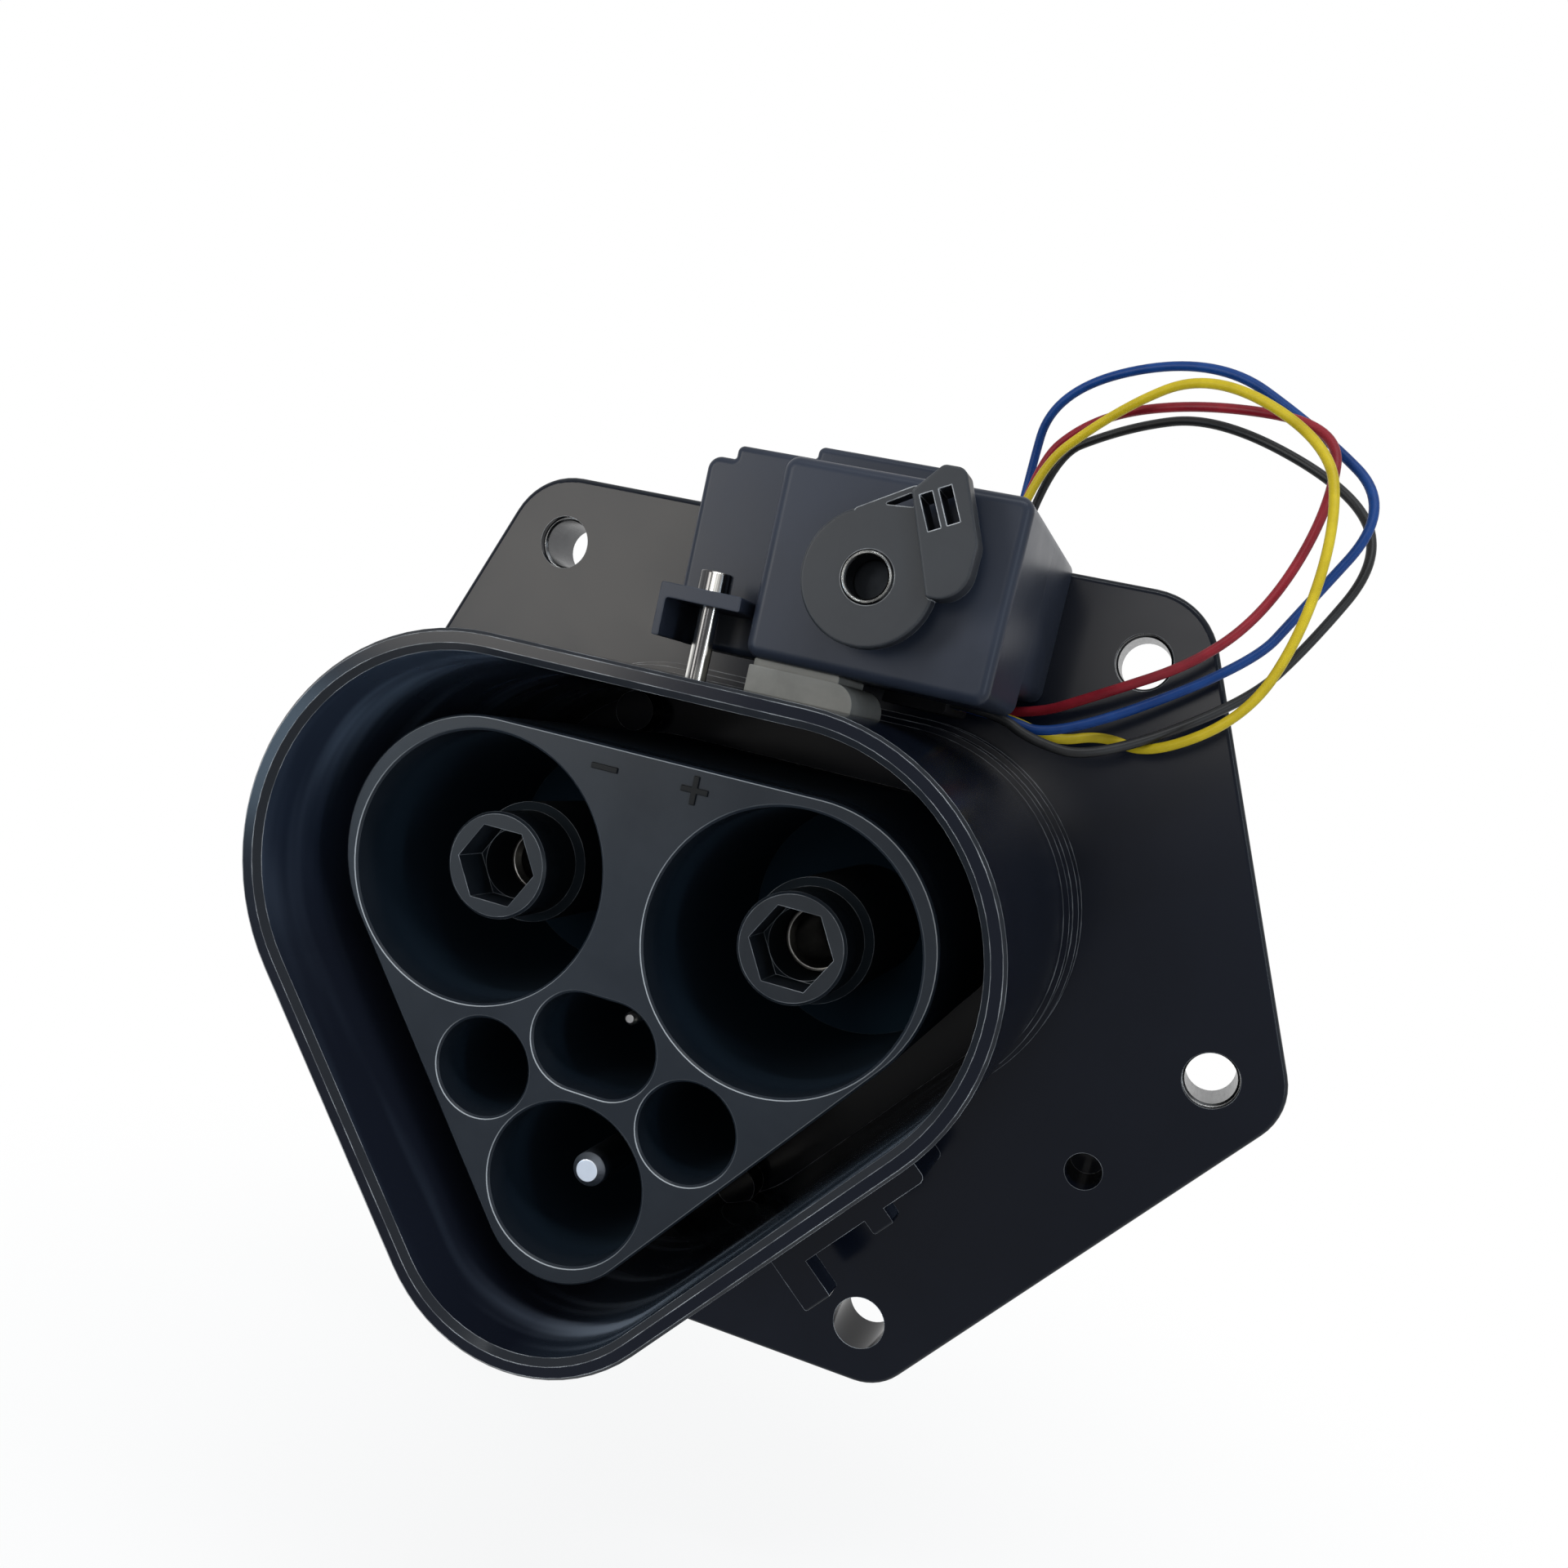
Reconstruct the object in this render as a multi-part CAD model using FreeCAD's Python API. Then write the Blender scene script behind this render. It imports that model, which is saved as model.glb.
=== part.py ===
import FreeCAD, Part
import math
import os

# Vehicle-side charging socket with a rounded-triangular mouth and a motor lock.
# The mouth faces -Y and +Z is up. The plane y = 0 is the rear mounting face of the flange,
# and x = 0, z = 0 is the middle of the line between the two power contacts.
# Every length is in millimetres, every angle in degrees.

V = FreeCAD.Vector
FRONTWARDS = V(0, -1, 0)
BACKWARDS = V(0, 1, 0)

# Fits
SLIP = 0.1            # radial clearance of a part that turns or slides
SEAT = 0.05           # radial clearance of a part that is pushed in and stays

# Power contacts and their recesses
POLE_SPACING = 35.0
POLE_RECESS_D = 29.5
POLE_RECESS_DEPTH = 38.0
POST_TIP_D = 12.0
POST_ROOT_D = 14.0
POST_SETBACK = 4.4
POST_TIP_LENGTH = 7.6
POST_SPIGOT_FLATS = 10.8
HEX_ACROSS_FLATS = 8.2
HEX_DEPTH = 5.1
CONTACT_TUBE_D = 8.0
CONTACT_TUBE_BORE_D = 5.8
CONTACT_TUBE_BORE_DEPTH = 17.0
CONTACT_TIP_DEPTH = 5.5
TERMINAL_D = 14.0
TERMINAL_NECK_D = 12.0
TERMINAL_REACH = 18.0
TERMINAL_THREAD_D = 6.8
TERMINAL_THREAD_DEPTH = 14.0

# Earth contact
EARTH_DROP = 30.65
EARTH_RECESS_D = 17.9
EARTH_RECESS_DEPTH = 34.0
EARTH_PIN_D = 3.9
EARTH_PIN_POINT = 0.7
EARTH_PIN_SETBACK = 5.8
EARTH_STEM_FLATS = 5.6
EARTH_COLLAR_D = 10.0
EARTH_NECK_D = 8.0
EARTH_REACH = 14.0
EARTH_THREAD_D = 4.2
EARTH_THREAD_DEPTH = 10.0

# Sockets for the plug's two guide pins
GUIDE_SOCKET_X = 12.1
GUIDE_SOCKET_DROP = 21.0
GUIDE_SOCKET_D = 10.9

# Signal contacts
SLOT_DROP = 15.0
SLOT_WIDTH = 14.2
SLOT_HEIGHT = 10.4
SIGNAL_RECESS_DEPTH = 30.0
SLOT_PIN_X = 2.1
SIGNAL_PIN_D = 1.6
SIGNAL_PIN_SETBACK = 14.3
SIGNAL_SHANK = 1.9
SIGNAL_COLLAR_D = 3.2
SIGNAL_REACH = 7.0

# Contact block
FACE_TO_FLANGE = 52.0
BLOCK_SHOULDER_OUT = 0.9
BLOCK_SHOULDER_UP = 0.85
BLOCK_WALL = 0.65
BLOCK_NOSE_DROP = 1.65
BLOCK_NOSE_WALL = 0.45
BLOCK_RIM_WIDTH = 5.8
BLOCK_RIM_THICK = 3.0
BLOCK_EDGE = 0.3
RECESS_FLOOR = 6.0
SHOULDER_DEPTH = 4.0
GASKET_THICK = 1.0
RETAINER_THICK = 2.5
RETAINER_HEAD_SINK = 1.9
RETAINER_SCREW_LENGTH = 18.0
RETAINER_MARGIN = 1.0

# Shroud
PLUG_GAP = 7.0
PLUG_GAP_NOSE = 6.6
MOUTH_SHOULDER_IN = 1.5
MOUTH_SHOULDER_DOWN = 0.65
MOUTH_NOSE_UP = 1.6
SHROUD_WALL = 2.2
RIM_LEAD = 7.6
RIM_CHAMFER = 0.7
RIM_EDGE = 0.35
FOOT_STEP = 0.75
FOOT_LENGTH = 4.4

# Flange
FLANGE_DEPTH = 10.0
FLANGE_PLATE = 3.5
FLANGE_SKIRT = 2.6
FLANGE_TOP_Z = 48.9
FLANGE_TOP_X = 48.0
FLANGE_WIDE_X = 74.3
FLANGE_WIDE_DROP = 12.1
FLANGE_FOOT_X = 31.5
FLANGE_FOOT_DROP = 66.6
FLANGE_TOP_R = 10.2
FLANGE_WIDE_R = 8.3
FLANGE_FOOT_R = 7.6
FLANGE_EDGE = 0.8
RIB_WIDTH = 1.8
COLLAR_WALL = 3.0

# Holes in the flange
BOLT_HOLE_D = 7.4
UPPER_BOLT_SPACING = 84.0
UPPER_BOLT_Z = 39.5
LOWER_BOLT_SPACING = 127.0
LOWER_BOLT_DROP = 10.7
FOOT_HOLE_SPACING = 53.4
FOOT_HOLE_DROP = 58.0
PILOT_X = 51.0
PILOT_DROP = 27.3
PILOT_D = 5.0
PILOT_DEPTH = 8.0
BUSH_BORE_D = 6.7
BUSH_D = 9.4
BUSH_LIP = 1.2
BOSS_WALL = 2.6

# Drain channel and spouts on the lower right of the shroud
DRAIN_REACH = 7.2
DRAIN_START = -27.5
DRAIN_END = -3.6
DRAIN_LENGTH = 12.0
BIG_SPOUT_WIDTH = 4.2
BIG_SPOUT_REACH = 5.6
BIG_SPOUT_AT = -26.0
SMALL_SPOUT_WIDTH = 3.2
SMALL_SPOUT_REACH = 2.3
SMALL_SPOUT_AT = -12.2
SPOUT_DEPTH = 4.0
SPOUT_BORE_D = 1.8

# Block screws
BLOCK_SCREW_D = 3.0
BLOCK_SCREW_HEAD_D = 5.6
BLOCK_SCREW_HEAD = 2.0
BLOCK_SCREW_LENGTH = 8.5
BLOCK_SCREW_END = 3.0

# Lock actuator case
CASE_LEFT_X = -9.2
CASE_STEP_X = 3.2
CASE_RIGHT_X = 30.3
CASE_BOTTOM_Z = 28.5
CASE_TOP_Z = 50.1
CASE_FRONT_LEAD = 41.6
CASE_STEP_LEAD = 32.4
CASE_SPLIT_LEAD = 20.8
CASE_WALL = 1.5
CASE_CORNER = 1.6
COVER_BOTTOM_RISE = 2.9
HUMP_LEFT_X = -6.0
HUMP_MID_X = 3.5
HUMP_RIGHT_X = 19.7
HUMP_LOW = 1.6
HUMP_HIGH = 3.0

# Ear with the bright screw
EAR_LEFT_X = -7.1
EAR_RIGHT_X = 2.3
EAR_TOP_Z = 34.3
EAR_PLATE = 1.6
EAR_SIDE = 0.8
EAR_LEAD = 10.5
EAR_SCREW_X = -2.4
EAR_SCREW_BEHIND = 3.7
EAR_SCREW_D = 2.4
EAR_SCREW_HEAD_D = 3.7
EAR_SCREW_HEAD = 2.3
EAR_SCREW_SOCKET = 1.9

# Lever and the shaft that it turns
SHAFT_X = 16.25
SHAFT_Z = 38.6
SHAFT_D = 4.4
LEVER_D = 14.2
LEVER_GAP = 0.5
LEVER_THICK = 2.0
LEVER_HUB_D = 9.0
LEVER_HUB = 2.4
ARM_STEP = 1.2
ARM_BACK = 1.8
ARM_RELIEF = 0.45
WINDOW_WIDTH = 1.3
WINDOW_HEIGHT = 3.7
WINDOW_LEAN = 27.0
LEVER_BUSH_D = 5.6
BEARING_D = 7.2
SHAFT_SUNK = 3.2

# Rack and pinion of the lock
GEAR_MODULE = 0.8
PINION_TEETH = 10
PINION_WIDTH = 5.0
PINION_AT = 7.1
TOOTH_PLAY = 0.12
RACK_LENGTH = 12.0
RACK_BACK = 4.0
LOCK_PIN_D = 5.0
LOCK_PIN_TIP = 0.6
LOCK_TRAVEL = 5.4

# Lock seal on the shroud
SEAL_LEFT_X = 4.2
SEAL_RIGHT_X = 16.4
SEAL_STEP = 0.8
SEAL_LIP = 1.6
SEAL_LENGTH = 14.0
SEAL_CORNER = 2.4

# Drive
MOTOR_D = 9.8
MOTOR_LENGTH = 12.6
MOTOR_RISE = 6.5
GEARBOX_LEAD = 27.4
GEARBOX_LENGTH = 11.0
GEARBOX_LEFT = 6.2
GEARBOX_RIGHT = 8.6
GEARBOX_DROP = 5.2
GEARBOX_RISE = 9.8
GEARBOX_SCREW_D = 2.0
GEARBOX_SCREW_HEAD_D = 3.6
GEARBOX_SCREW_HEAD = 1.4
GEARBOX_SCREW_BITE = 5.0
COVER_SCREW_BITE = 4.0
COVER_HEAD_SINK = 2.2
ACTUATOR_SCREW_BITE = 7.0
CASE_BOSS_D = 4.2
WORM_HOUSE_D = 8.4
BOARD_MARGIN = 4.2
BOARD_BACK_GAP = 10.0
CHIP_SIZE = 5.0
CHIP_THICK = 1.2
CHIP_PITCH = 8.0
CASE_SCREW_INSET = 1.2
BOARD_THICK = 1.6

# Wires
WIRE_D = 1.25
WIRE_PITCH = 3.4
WIRE_FIRST_LEAD = 17.2
GROMMET_LEFT_X = 14.0
GROMMET_RIGHT_X = 22.0
WIRE_EXIT_Z = 28.8
HARNESS_X = 18.4
HARNESS_WIDTH = 6.4
HARNESS_HEIGHT = 11.0
HARNESS_TOP_Z = 40.0
HARNESS_FIRST_Y = 2.4

# Places worked out from the sizes above
PLATE_FRONT_Y = -FLANGE_DEPTH
PLATE_BACK_Y = PLATE_FRONT_Y + FLANGE_PLATE
FACE_Y = PLATE_FRONT_Y - FACE_TO_FLANGE
RIM_Y = FACE_Y - RIM_LEAD
POLE_X = POLE_SPACING / 2
POLE_FLOOR_Y = FACE_Y + POLE_RECESS_DEPTH
EARTH_FLOOR_Y = FACE_Y + EARTH_RECESS_DEPTH
SIGNAL_FLOOR_Y = FACE_Y + SIGNAL_RECESS_DEPTH
BLOCK_RIM_Y = PLATE_BACK_Y + GASKET_THICK
BLOCK_BACK_Y = BLOCK_RIM_Y + BLOCK_RIM_THICK
SHOULDER_Y = POLE_FLOOR_Y + RECESS_FLOOR + SHOULDER_DEPTH
RETAINER_BACK_Y = BLOCK_BACK_Y + RETAINER_THICK
RETAINER_SEAT_Y = RETAINER_BACK_Y - RETAINER_HEAD_SINK
CASE_FRONT_Y = PLATE_FRONT_Y - CASE_FRONT_LEAD
CASE_STEP_Y = PLATE_FRONT_Y - CASE_STEP_LEAD
CASE_SPLIT_Y = PLATE_FRONT_Y - CASE_SPLIT_LEAD
COVER_BOTTOM_Z = CASE_BOTTOM_Z + COVER_BOTTOM_RISE
EAR_FRONT_Y = CASE_STEP_Y - EAR_LEAD
EAR_SCREW_Y = EAR_FRONT_Y + EAR_SCREW_BEHIND
LEVER_BACK_Y = CASE_FRONT_Y - LEVER_GAP
DISC_BACK_Y = LEVER_BACK_Y - LEVER_HUB
DISC_FRONT_Y = DISC_BACK_Y - LEVER_THICK
ARM_FRONT_Y = DISC_FRONT_Y - ARM_STEP
ARM_BACK_Y = DISC_BACK_Y + ARM_BACK
PINION_Y = CASE_FRONT_Y + PINION_AT
PINION_PITCH_R = GEAR_MODULE * PINION_TEETH / 2
RACK_PITCH_X = SHAFT_X - PINION_PITCH_R
RACK_ROOT_X = RACK_PITCH_X - GEAR_MODULE - TOOTH_PLAY
RACK_X = RACK_ROOT_X - RACK_BACK
LOCK_PIN_X = RACK_ROOT_X - LOCK_PIN_D / 2 + 0.15
LOCK_PIN_Y = PINION_Y + PINION_WIDTH / 2
RACK_BOTTOM_Z = SHAFT_Z - PINION_PITCH_R + 1.3
GEARBOX_Y = PLATE_FRONT_Y - GEARBOX_LEAD
MOTOR_Y = GEARBOX_Y + GEARBOX_LENGTH / 2
MOTOR_Z = SHAFT_Z + MOTOR_RISE


def shoulder_and_nose():
    """Middles and radii of the block's two shoulders and its nose."""
    shoulder = (POLE_X + BLOCK_SHOULDER_OUT, BLOCK_SHOULDER_UP, POLE_RECESS_D / 2 + BLOCK_WALL)
    nose = (-(EARTH_DROP + BLOCK_NOSE_DROP), EARTH_RECESS_D / 2 + BLOCK_NOSE_WALL)
    return shoulder, nose


def triangle_face(shoulder, nose, y, grow=0.0):
    """Rounded triangle at depth y, around two shoulder circles and a nose circle."""
    x, z, r = shoulder
    nose_z, nose_r = nose
    r += grow
    nose_r += grow
    lean = math.atan2(z - nose_z, x) - math.pi / 2 + math.asin((nose_r - r) / math.hypot(x, z - nose_z))
    right = V(math.cos(lean), 0, math.sin(lean))
    left = V(-right.x, 0, right.z)
    middle = lean / 2 + math.pi / 4
    up_right = V(math.cos(middle), 0, math.sin(middle))
    up_left = V(-up_right.x, 0, up_right.z)
    right_middle = V(x, y, z)
    left_middle = V(-x, y, z)
    nose_middle = V(0, y, nose_z)
    top_right = right_middle + V(0, 0, r)
    top_left = left_middle + V(0, 0, r)
    edges = [
        Part.LineSegment(top_left, top_right).toShape(),
        Part.Arc(top_right, right_middle + up_right * r, right_middle + right * r).toShape(),
        Part.LineSegment(right_middle + right * r, nose_middle + right * nose_r).toShape(),
        Part.Arc(nose_middle + right * nose_r, nose_middle - V(0, 0, nose_r),
                 nose_middle + left * nose_r).toShape(),
        Part.LineSegment(nose_middle + left * nose_r, left_middle + left * r).toShape(),
        Part.Arc(left_middle + left * r, left_middle + up_left * r, top_left).toShape(),
    ]
    return Part.Face(Part.Wire(edges))


def triangle_prism(shoulder, nose, y0, y1, grow=0.0):
    return triangle_face(shoulder, nose, y0, grow).extrude(V(0, y1 - y0, 0))


def block_prism(y0, y1, grow=0.0):
    shoulder, nose = shoulder_and_nose()
    return triangle_prism(shoulder, nose, y0, y1, grow)


def mouth_prism(y0, y1, grow=0.0):
    """Prism with the shroud's inner outline."""
    shoulder, nose = mouth_outline()
    return triangle_prism(shoulder, nose, y0, y1, grow)


def mouth_outline():
    (x, z, r), (nose_z, nose_r) = shoulder_and_nose()
    shoulder = (x - MOUTH_SHOULDER_IN, z - MOUTH_SHOULDER_DOWN, r + PLUG_GAP)
    nose = (nose_z + MOUTH_NOSE_UP, nose_r + PLUG_GAP_NOSE)
    return shoulder, nose


def shroud_side():
    """Outward direction of the shroud's lower right side, the direction along it, and its distance."""
    (x, z, r), (nose_z, nose_r) = mouth_outline()
    lean = math.atan2(z - nose_z, x) - math.pi / 2 + math.asin((nose_r - r) / math.hypot(x, z - nose_z))
    out = V(math.cos(lean), 0, math.sin(lean))
    along = V(-math.sin(lean), 0, math.cos(lean))
    distance = out.x * x + out.z * z + r + SHROUD_WALL
    return out, along, distance


def shroud_top_z():
    (_, z, r), _ = mouth_outline()
    return z + r + SHROUD_WALL


def rounded_face(corners, y):
    """Flat face at depth y from corners (x, z, radius), each corner rounded."""
    edges = []
    first = None
    last = None
    count = len(corners)
    for i in range(count):
        x, z, r = corners[i]
        here = V(x, y, z)
        before = V(corners[i - 1][0], y, corners[i - 1][1]) - here
        after = V(corners[(i + 1) % count][0], y, corners[(i + 1) % count][1]) - here
        before.normalize()
        after.normalize()
        if r > 0:
            half = before.getAngle(after) / 2
            start = here + before * (r / math.tan(half))
            end = here + after * (r / math.tan(half))
            bisector = before + after
            bisector.normalize()
            crown = here + bisector * (r / math.sin(half) - r)
            piece = Part.Arc(start, crown, end).toShape()
        else:
            start = here
            end = here
            piece = None
        if last is not None and (start - last).Length > 1e-6:
            edges.append(Part.LineSegment(last, start).toShape())
        if piece is not None:
            edges.append(piece)
        if first is None:
            first = start
        last = end
    if (first - last).Length > 1e-6:
        edges.append(Part.LineSegment(last, first).toShape())
    return Part.Face(Part.Wire(edges))


def rounded_prism(corners, y0, y1):
    return rounded_face(corners, y0).extrude(V(0, y1 - y0, 0))


def rod(x, z, d, y0, y1):
    """Round bar along Y."""
    return Part.makeCylinder(d / 2, y1 - y0, V(x, y0, z), BACKWARDS)


def post(x, y, d, z0, z1):
    """Round bar along Z."""
    return Part.makeCylinder(d / 2, z1 - z0, V(x, y, z0), V(0, 0, 1))


def block_of(x0, x1, y0, y1, z0, z1):
    return Part.makeBox(x1 - x0, y1 - y0, z1 - z0, V(x0, y0, z0))


def turned(points, x, z):
    """Solid of revolution about the line along Y through (x, z), from (radius, y) points."""
    ring = [V(x + r, y, z) for r, y in points]
    face = Part.Face(Part.makePolygon(ring + ring[:1]))
    return face.revolve(V(x, 0, z), BACKWARDS, 360)


def edges_where(shape, test):
    return [edge for edge in shape.Edges if test(edge.BoundBox)]


def flat_at(y):
    """Test for edges that lie in the plane at depth y."""
    return lambda box: abs(box.YMin - y) < 1e-4 and abs(box.YMax - y) < 1e-4


def flange_corners(inset=0.0):
    """Corners of the flange, moved inwards by a wall."""
    slope_x = FLANGE_WIDE_X - FLANGE_TOP_X
    slope_z = FLANGE_TOP_Z + FLANGE_WIDE_DROP
    upper = math.hypot(slope_x, slope_z)
    foot_x = FLANGE_WIDE_X - FLANGE_FOOT_X
    foot_z = FLANGE_FOOT_DROP - FLANGE_WIDE_DROP
    lower = math.hypot(foot_x, foot_z)
    top_x = FLANGE_TOP_X - inset * (upper - slope_x) / slope_z
    foot_edge = FLANGE_FOOT_X - inset * (lower - foot_x) / foot_z
    wide_z = (upper / slope_z - lower / foot_z) / (slope_x / slope_z + foot_x / foot_z)
    wide_x = FLANGE_WIDE_X - inset * (upper / slope_z - wide_z * slope_x / slope_z)
    right = [
        (top_x, FLANGE_TOP_Z - inset, FLANGE_TOP_R - inset),
        (wide_x, -FLANGE_WIDE_DROP - inset * wide_z, FLANGE_WIDE_R - inset),
        (foot_edge, -FLANGE_FOOT_DROP + inset, FLANGE_FOOT_R - inset),
    ]
    left = [(-x, z, r) for x, z, r in reversed(right)]
    return right + left


def bushed_holes():
    """Middles of the four bolt holes that carry metal bushes."""
    upper = UPPER_BOLT_SPACING / 2
    lower = LOWER_BOLT_SPACING / 2
    return [(-upper, UPPER_BOLT_Z), (upper, UPPER_BOLT_Z),
            (-lower, -LOWER_BOLT_DROP), (lower, -LOWER_BOLT_DROP)]


def foot_holes():
    return [(side * FOOT_HOLE_SPACING / 2, -FOOT_HOLE_DROP) for side in (-1, 1)]


def pilot_holes():
    return [(side * PILOT_X, -PILOT_DROP) for side in (-1, 1)]


def block_screw_places():
    """Middles of the screws that hold the block, in the gap around its outline."""
    (x, z, r), (nose_z, nose_r) = shoulder_and_nose()
    reach = r + PLUG_GAP / 2 - 0.4
    places = []
    for side in (-1, 1):
        for angle in (72, -8):
            turn = math.radians(angle)
            places.append((side * (x + reach * math.cos(turn)), z + reach * math.sin(turn)))
        turn = math.radians(-62)
        low = nose_r + PLUG_GAP_NOSE / 2 - 0.4
        places.append((side * low * math.cos(turn), nose_z + low * math.sin(turn)))
    return places


def actuator_screw_places():
    """Screws through the flange into the actuator's rear cover."""
    return [(CASE_LEFT_X + 5.0, CASE_TOP_Z - 10.0), (CASE_RIGHT_X - 5.0, CASE_TOP_Z - 10.0)]


def case_screw_places():
    """Screws that close the actuator case from behind."""
    inset = CASE_WALL + CASE_SCREW_INSET
    return [(CASE_LEFT_X + inset, COVER_BOTTOM_Z + inset), (CASE_RIGHT_X - inset, COVER_BOTTOM_Z + inset),
            (CASE_LEFT_X + inset, CASE_TOP_Z - inset), (CASE_RIGHT_X - inset, CASE_TOP_Z - inset)]


def flange_pockets():
    """The hollow of the flange's back, with bosses, collar and ribs left standing."""
    depth = (PLATE_BACK_Y, 0.0)
    hollow = rounded_prism(flange_corners(FLANGE_SKIRT), *depth)
    keep = [block_prism(*depth, grow=BLOCK_RIM_WIDTH + COLLAR_WALL + SLIP)]
    for x, z in bushed_holes():
        keep.append(rod(x, z, BUSH_D + 2 * BOSS_WALL, *depth))
    for x, z in foot_holes():
        keep.append(rod(x, z, BOLT_HOLE_D + 2 * BOSS_WALL, *depth))
    for x, z in pilot_holes():
        keep.append(rod(x, z, PILOT_D + 2 * BOSS_WALL, *depth))
    for x, z in actuator_screw_places():
        keep.append(rod(x, z, BLOCK_SCREW_HEAD_D + 2 * BOSS_WALL, *depth))
    left = HARNESS_X - HARNESS_WIDTH / 2
    keep.append(block_of(left, left + HARNESS_WIDTH, *depth, HARNESS_TOP_Z - HARNESS_HEIGHT, HARNESS_TOP_Z))
    for x, z in bushed_holes() + foot_holes() + pilot_holes():
        reach = math.hypot(x, z)
        rib = block_of(0, reach, depth[0], depth[1], -RIB_WIDTH / 2, RIB_WIDTH / 2)
        rib.rotate(V(0, 0, 0), V(0, -1, 0), math.degrees(math.atan2(z, x)))
        keep.append(rib)
    return hollow.cut(keep[0].multiFuse(keep[1:]))


def drain_features():
    """Channel along the shroud's lower right side, with a big and a small spout."""
    out, along, distance = shroud_side()
    angle = math.degrees(math.atan2(out.z, out.x))
    root = distance - SHROUD_WALL
    front = PLATE_FRONT_Y - DRAIN_LENGTH
    edge = distance + DRAIN_REACH
    channel = block_of(root, edge, front, PLATE_FRONT_Y, DRAIN_START, DRAIN_END)
    channel = channel.makeFillet(1.0, [e for e in channel.Edges if e.BoundBox.XMin > edge - 1e-6
                                       and e.BoundBox.YLength > 1])
    pieces = [channel]
    for at, width, reach in ((BIG_SPOUT_AT, BIG_SPOUT_WIDTH, BIG_SPOUT_REACH),
                             (SMALL_SPOUT_AT, SMALL_SPOUT_WIDTH, SMALL_SPOUT_REACH)):
        spout = block_of(edge - 3, edge + reach, front, front + SPOUT_DEPTH, at - width / 2, at + width / 2)
        spout = spout.makeFillet(0.5, [e for e in spout.Edges if e.BoundBox.XMin > edge + reach - 1e-6])
        pieces.append(spout)
    channel = pieces[0].multiFuse(pieces[1:])
    for at, reach in ((BIG_SPOUT_AT, BIG_SPOUT_REACH), (SMALL_SPOUT_AT, SMALL_SPOUT_REACH)):
        bore = Part.makeCylinder(SPOUT_BORE_D / 2, reach + 1,
                                 V(edge, front + SPOUT_DEPTH / 2, at), V(1, 0, 0))
        channel = channel.cut(bore)
    channel.rotate(V(0, 0, 0), V(0, -1, 0), angle)
    return channel


def make_housing():
    """Flange, shroud, foot steps and drain channel as one moulding."""
    plate = rounded_prism(flange_corners(), PLATE_FRONT_Y, 0.0)
    plate = plate.makeFillet(FLANGE_EDGE, edges_where(plate, flat_at(PLATE_FRONT_Y)))
    plate = plate.cut(flange_pockets())
    wall = mouth_prism(RIM_Y, PLATE_FRONT_Y + 1, grow=SHROUD_WALL)
    wall = wall.makeChamfer(RIM_EDGE, edges_where(wall, flat_at(RIM_Y)))
    foot = mouth_prism(PLATE_FRONT_Y - FOOT_LENGTH, PLATE_FRONT_Y + 1, grow=SHROUD_WALL + 2 * FOOT_STEP)
    step = mouth_prism(PLATE_FRONT_Y - 2 * FOOT_LENGTH, PLATE_FRONT_Y + 1, grow=SHROUD_WALL + FOOT_STEP)
    body = plate.multiFuse([wall, foot, step, drain_features()])
    hollow = mouth_prism(RIM_Y - 1, PLATE_FRONT_Y)
    shoulder, nose = mouth_outline()
    flare = Part.makeLoft([triangle_face(shoulder, nose, RIM_Y - RIM_CHAMFER, 2 * RIM_CHAMFER).OuterWire,
                           triangle_face(shoulder, nose, RIM_Y + RIM_CHAMFER).OuterWire], True, True)
    body = body.cut(hollow.fuse(flare))
    screw_tip = BLOCK_BACK_Y - BLOCK_SCREW_LENGTH
    bosses = [rod(x, z, BLOCK_SCREW_HEAD_D, screw_tip - BLOCK_SCREW_END, PLATE_FRONT_Y + 1)
              for x, z in block_screw_places()]
    body = body.multiFuse(bosses)
    cuts = [block_prism(PLATE_FRONT_Y - 1, 1, grow=SLIP),
            block_prism(PLATE_BACK_Y, 1, grow=BLOCK_RIM_WIDTH + SLIP)]
    for x, z in bushed_holes():
        cuts.append(rod(x, z, BOLT_HOLE_D, PLATE_FRONT_Y - 1, 1))
        cuts.append(rod(x, z, BUSH_D, PLATE_FRONT_Y + BUSH_LIP, 1))
    for x, z in foot_holes():
        cuts.append(rod(x, z, BOLT_HOLE_D, PLATE_FRONT_Y - 1, 1))
    for x, z in pilot_holes():
        cuts.append(rod(x, z, PILOT_D, PLATE_FRONT_Y - 1, PLATE_FRONT_Y + PILOT_DEPTH))
    for x, z in block_screw_places():
        cuts.append(rod(x, z, BLOCK_SCREW_D, screw_tip - 1, 1))
    for x, z in actuator_screw_places():
        cuts.append(rod(x, z, BLOCK_SCREW_D + 2 * SLIP, PLATE_FRONT_Y - 1, 1))
        cuts.append(rod(x, z, BLOCK_SCREW_HEAD_D + 2 * SLIP, PLATE_BACK_Y, 1))
    top = shroud_top_z()
    cuts.append(post(LOCK_PIN_X, LOCK_PIN_Y, LOCK_PIN_D + 2 * SLIP, top - SHROUD_WALL - 1, top + 1))
    cuts.append(post(EAR_SCREW_X, EAR_SCREW_Y, EAR_SCREW_D, top - SHROUD_WALL - 1, top + 1))
    return body.cut(cuts[0].multiFuse(cuts[1:]))


def make_flange_bushes():
    bushes = []
    for x, z in bushed_holes():
        bush = rod(x, z, BUSH_D, PLATE_FRONT_Y + BUSH_LIP, 0).cut(rod(x, z, BUSH_BORE_D, PLATE_FRONT_Y, 1))
        rims = [e for e in bush.Edges if abs(e.BoundBox.XLength - BUSH_BORE_D) < 1e-3]
        bushes.append(bush.makeChamfer(0.3, rims))
    return Part.Compound(bushes)


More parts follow.
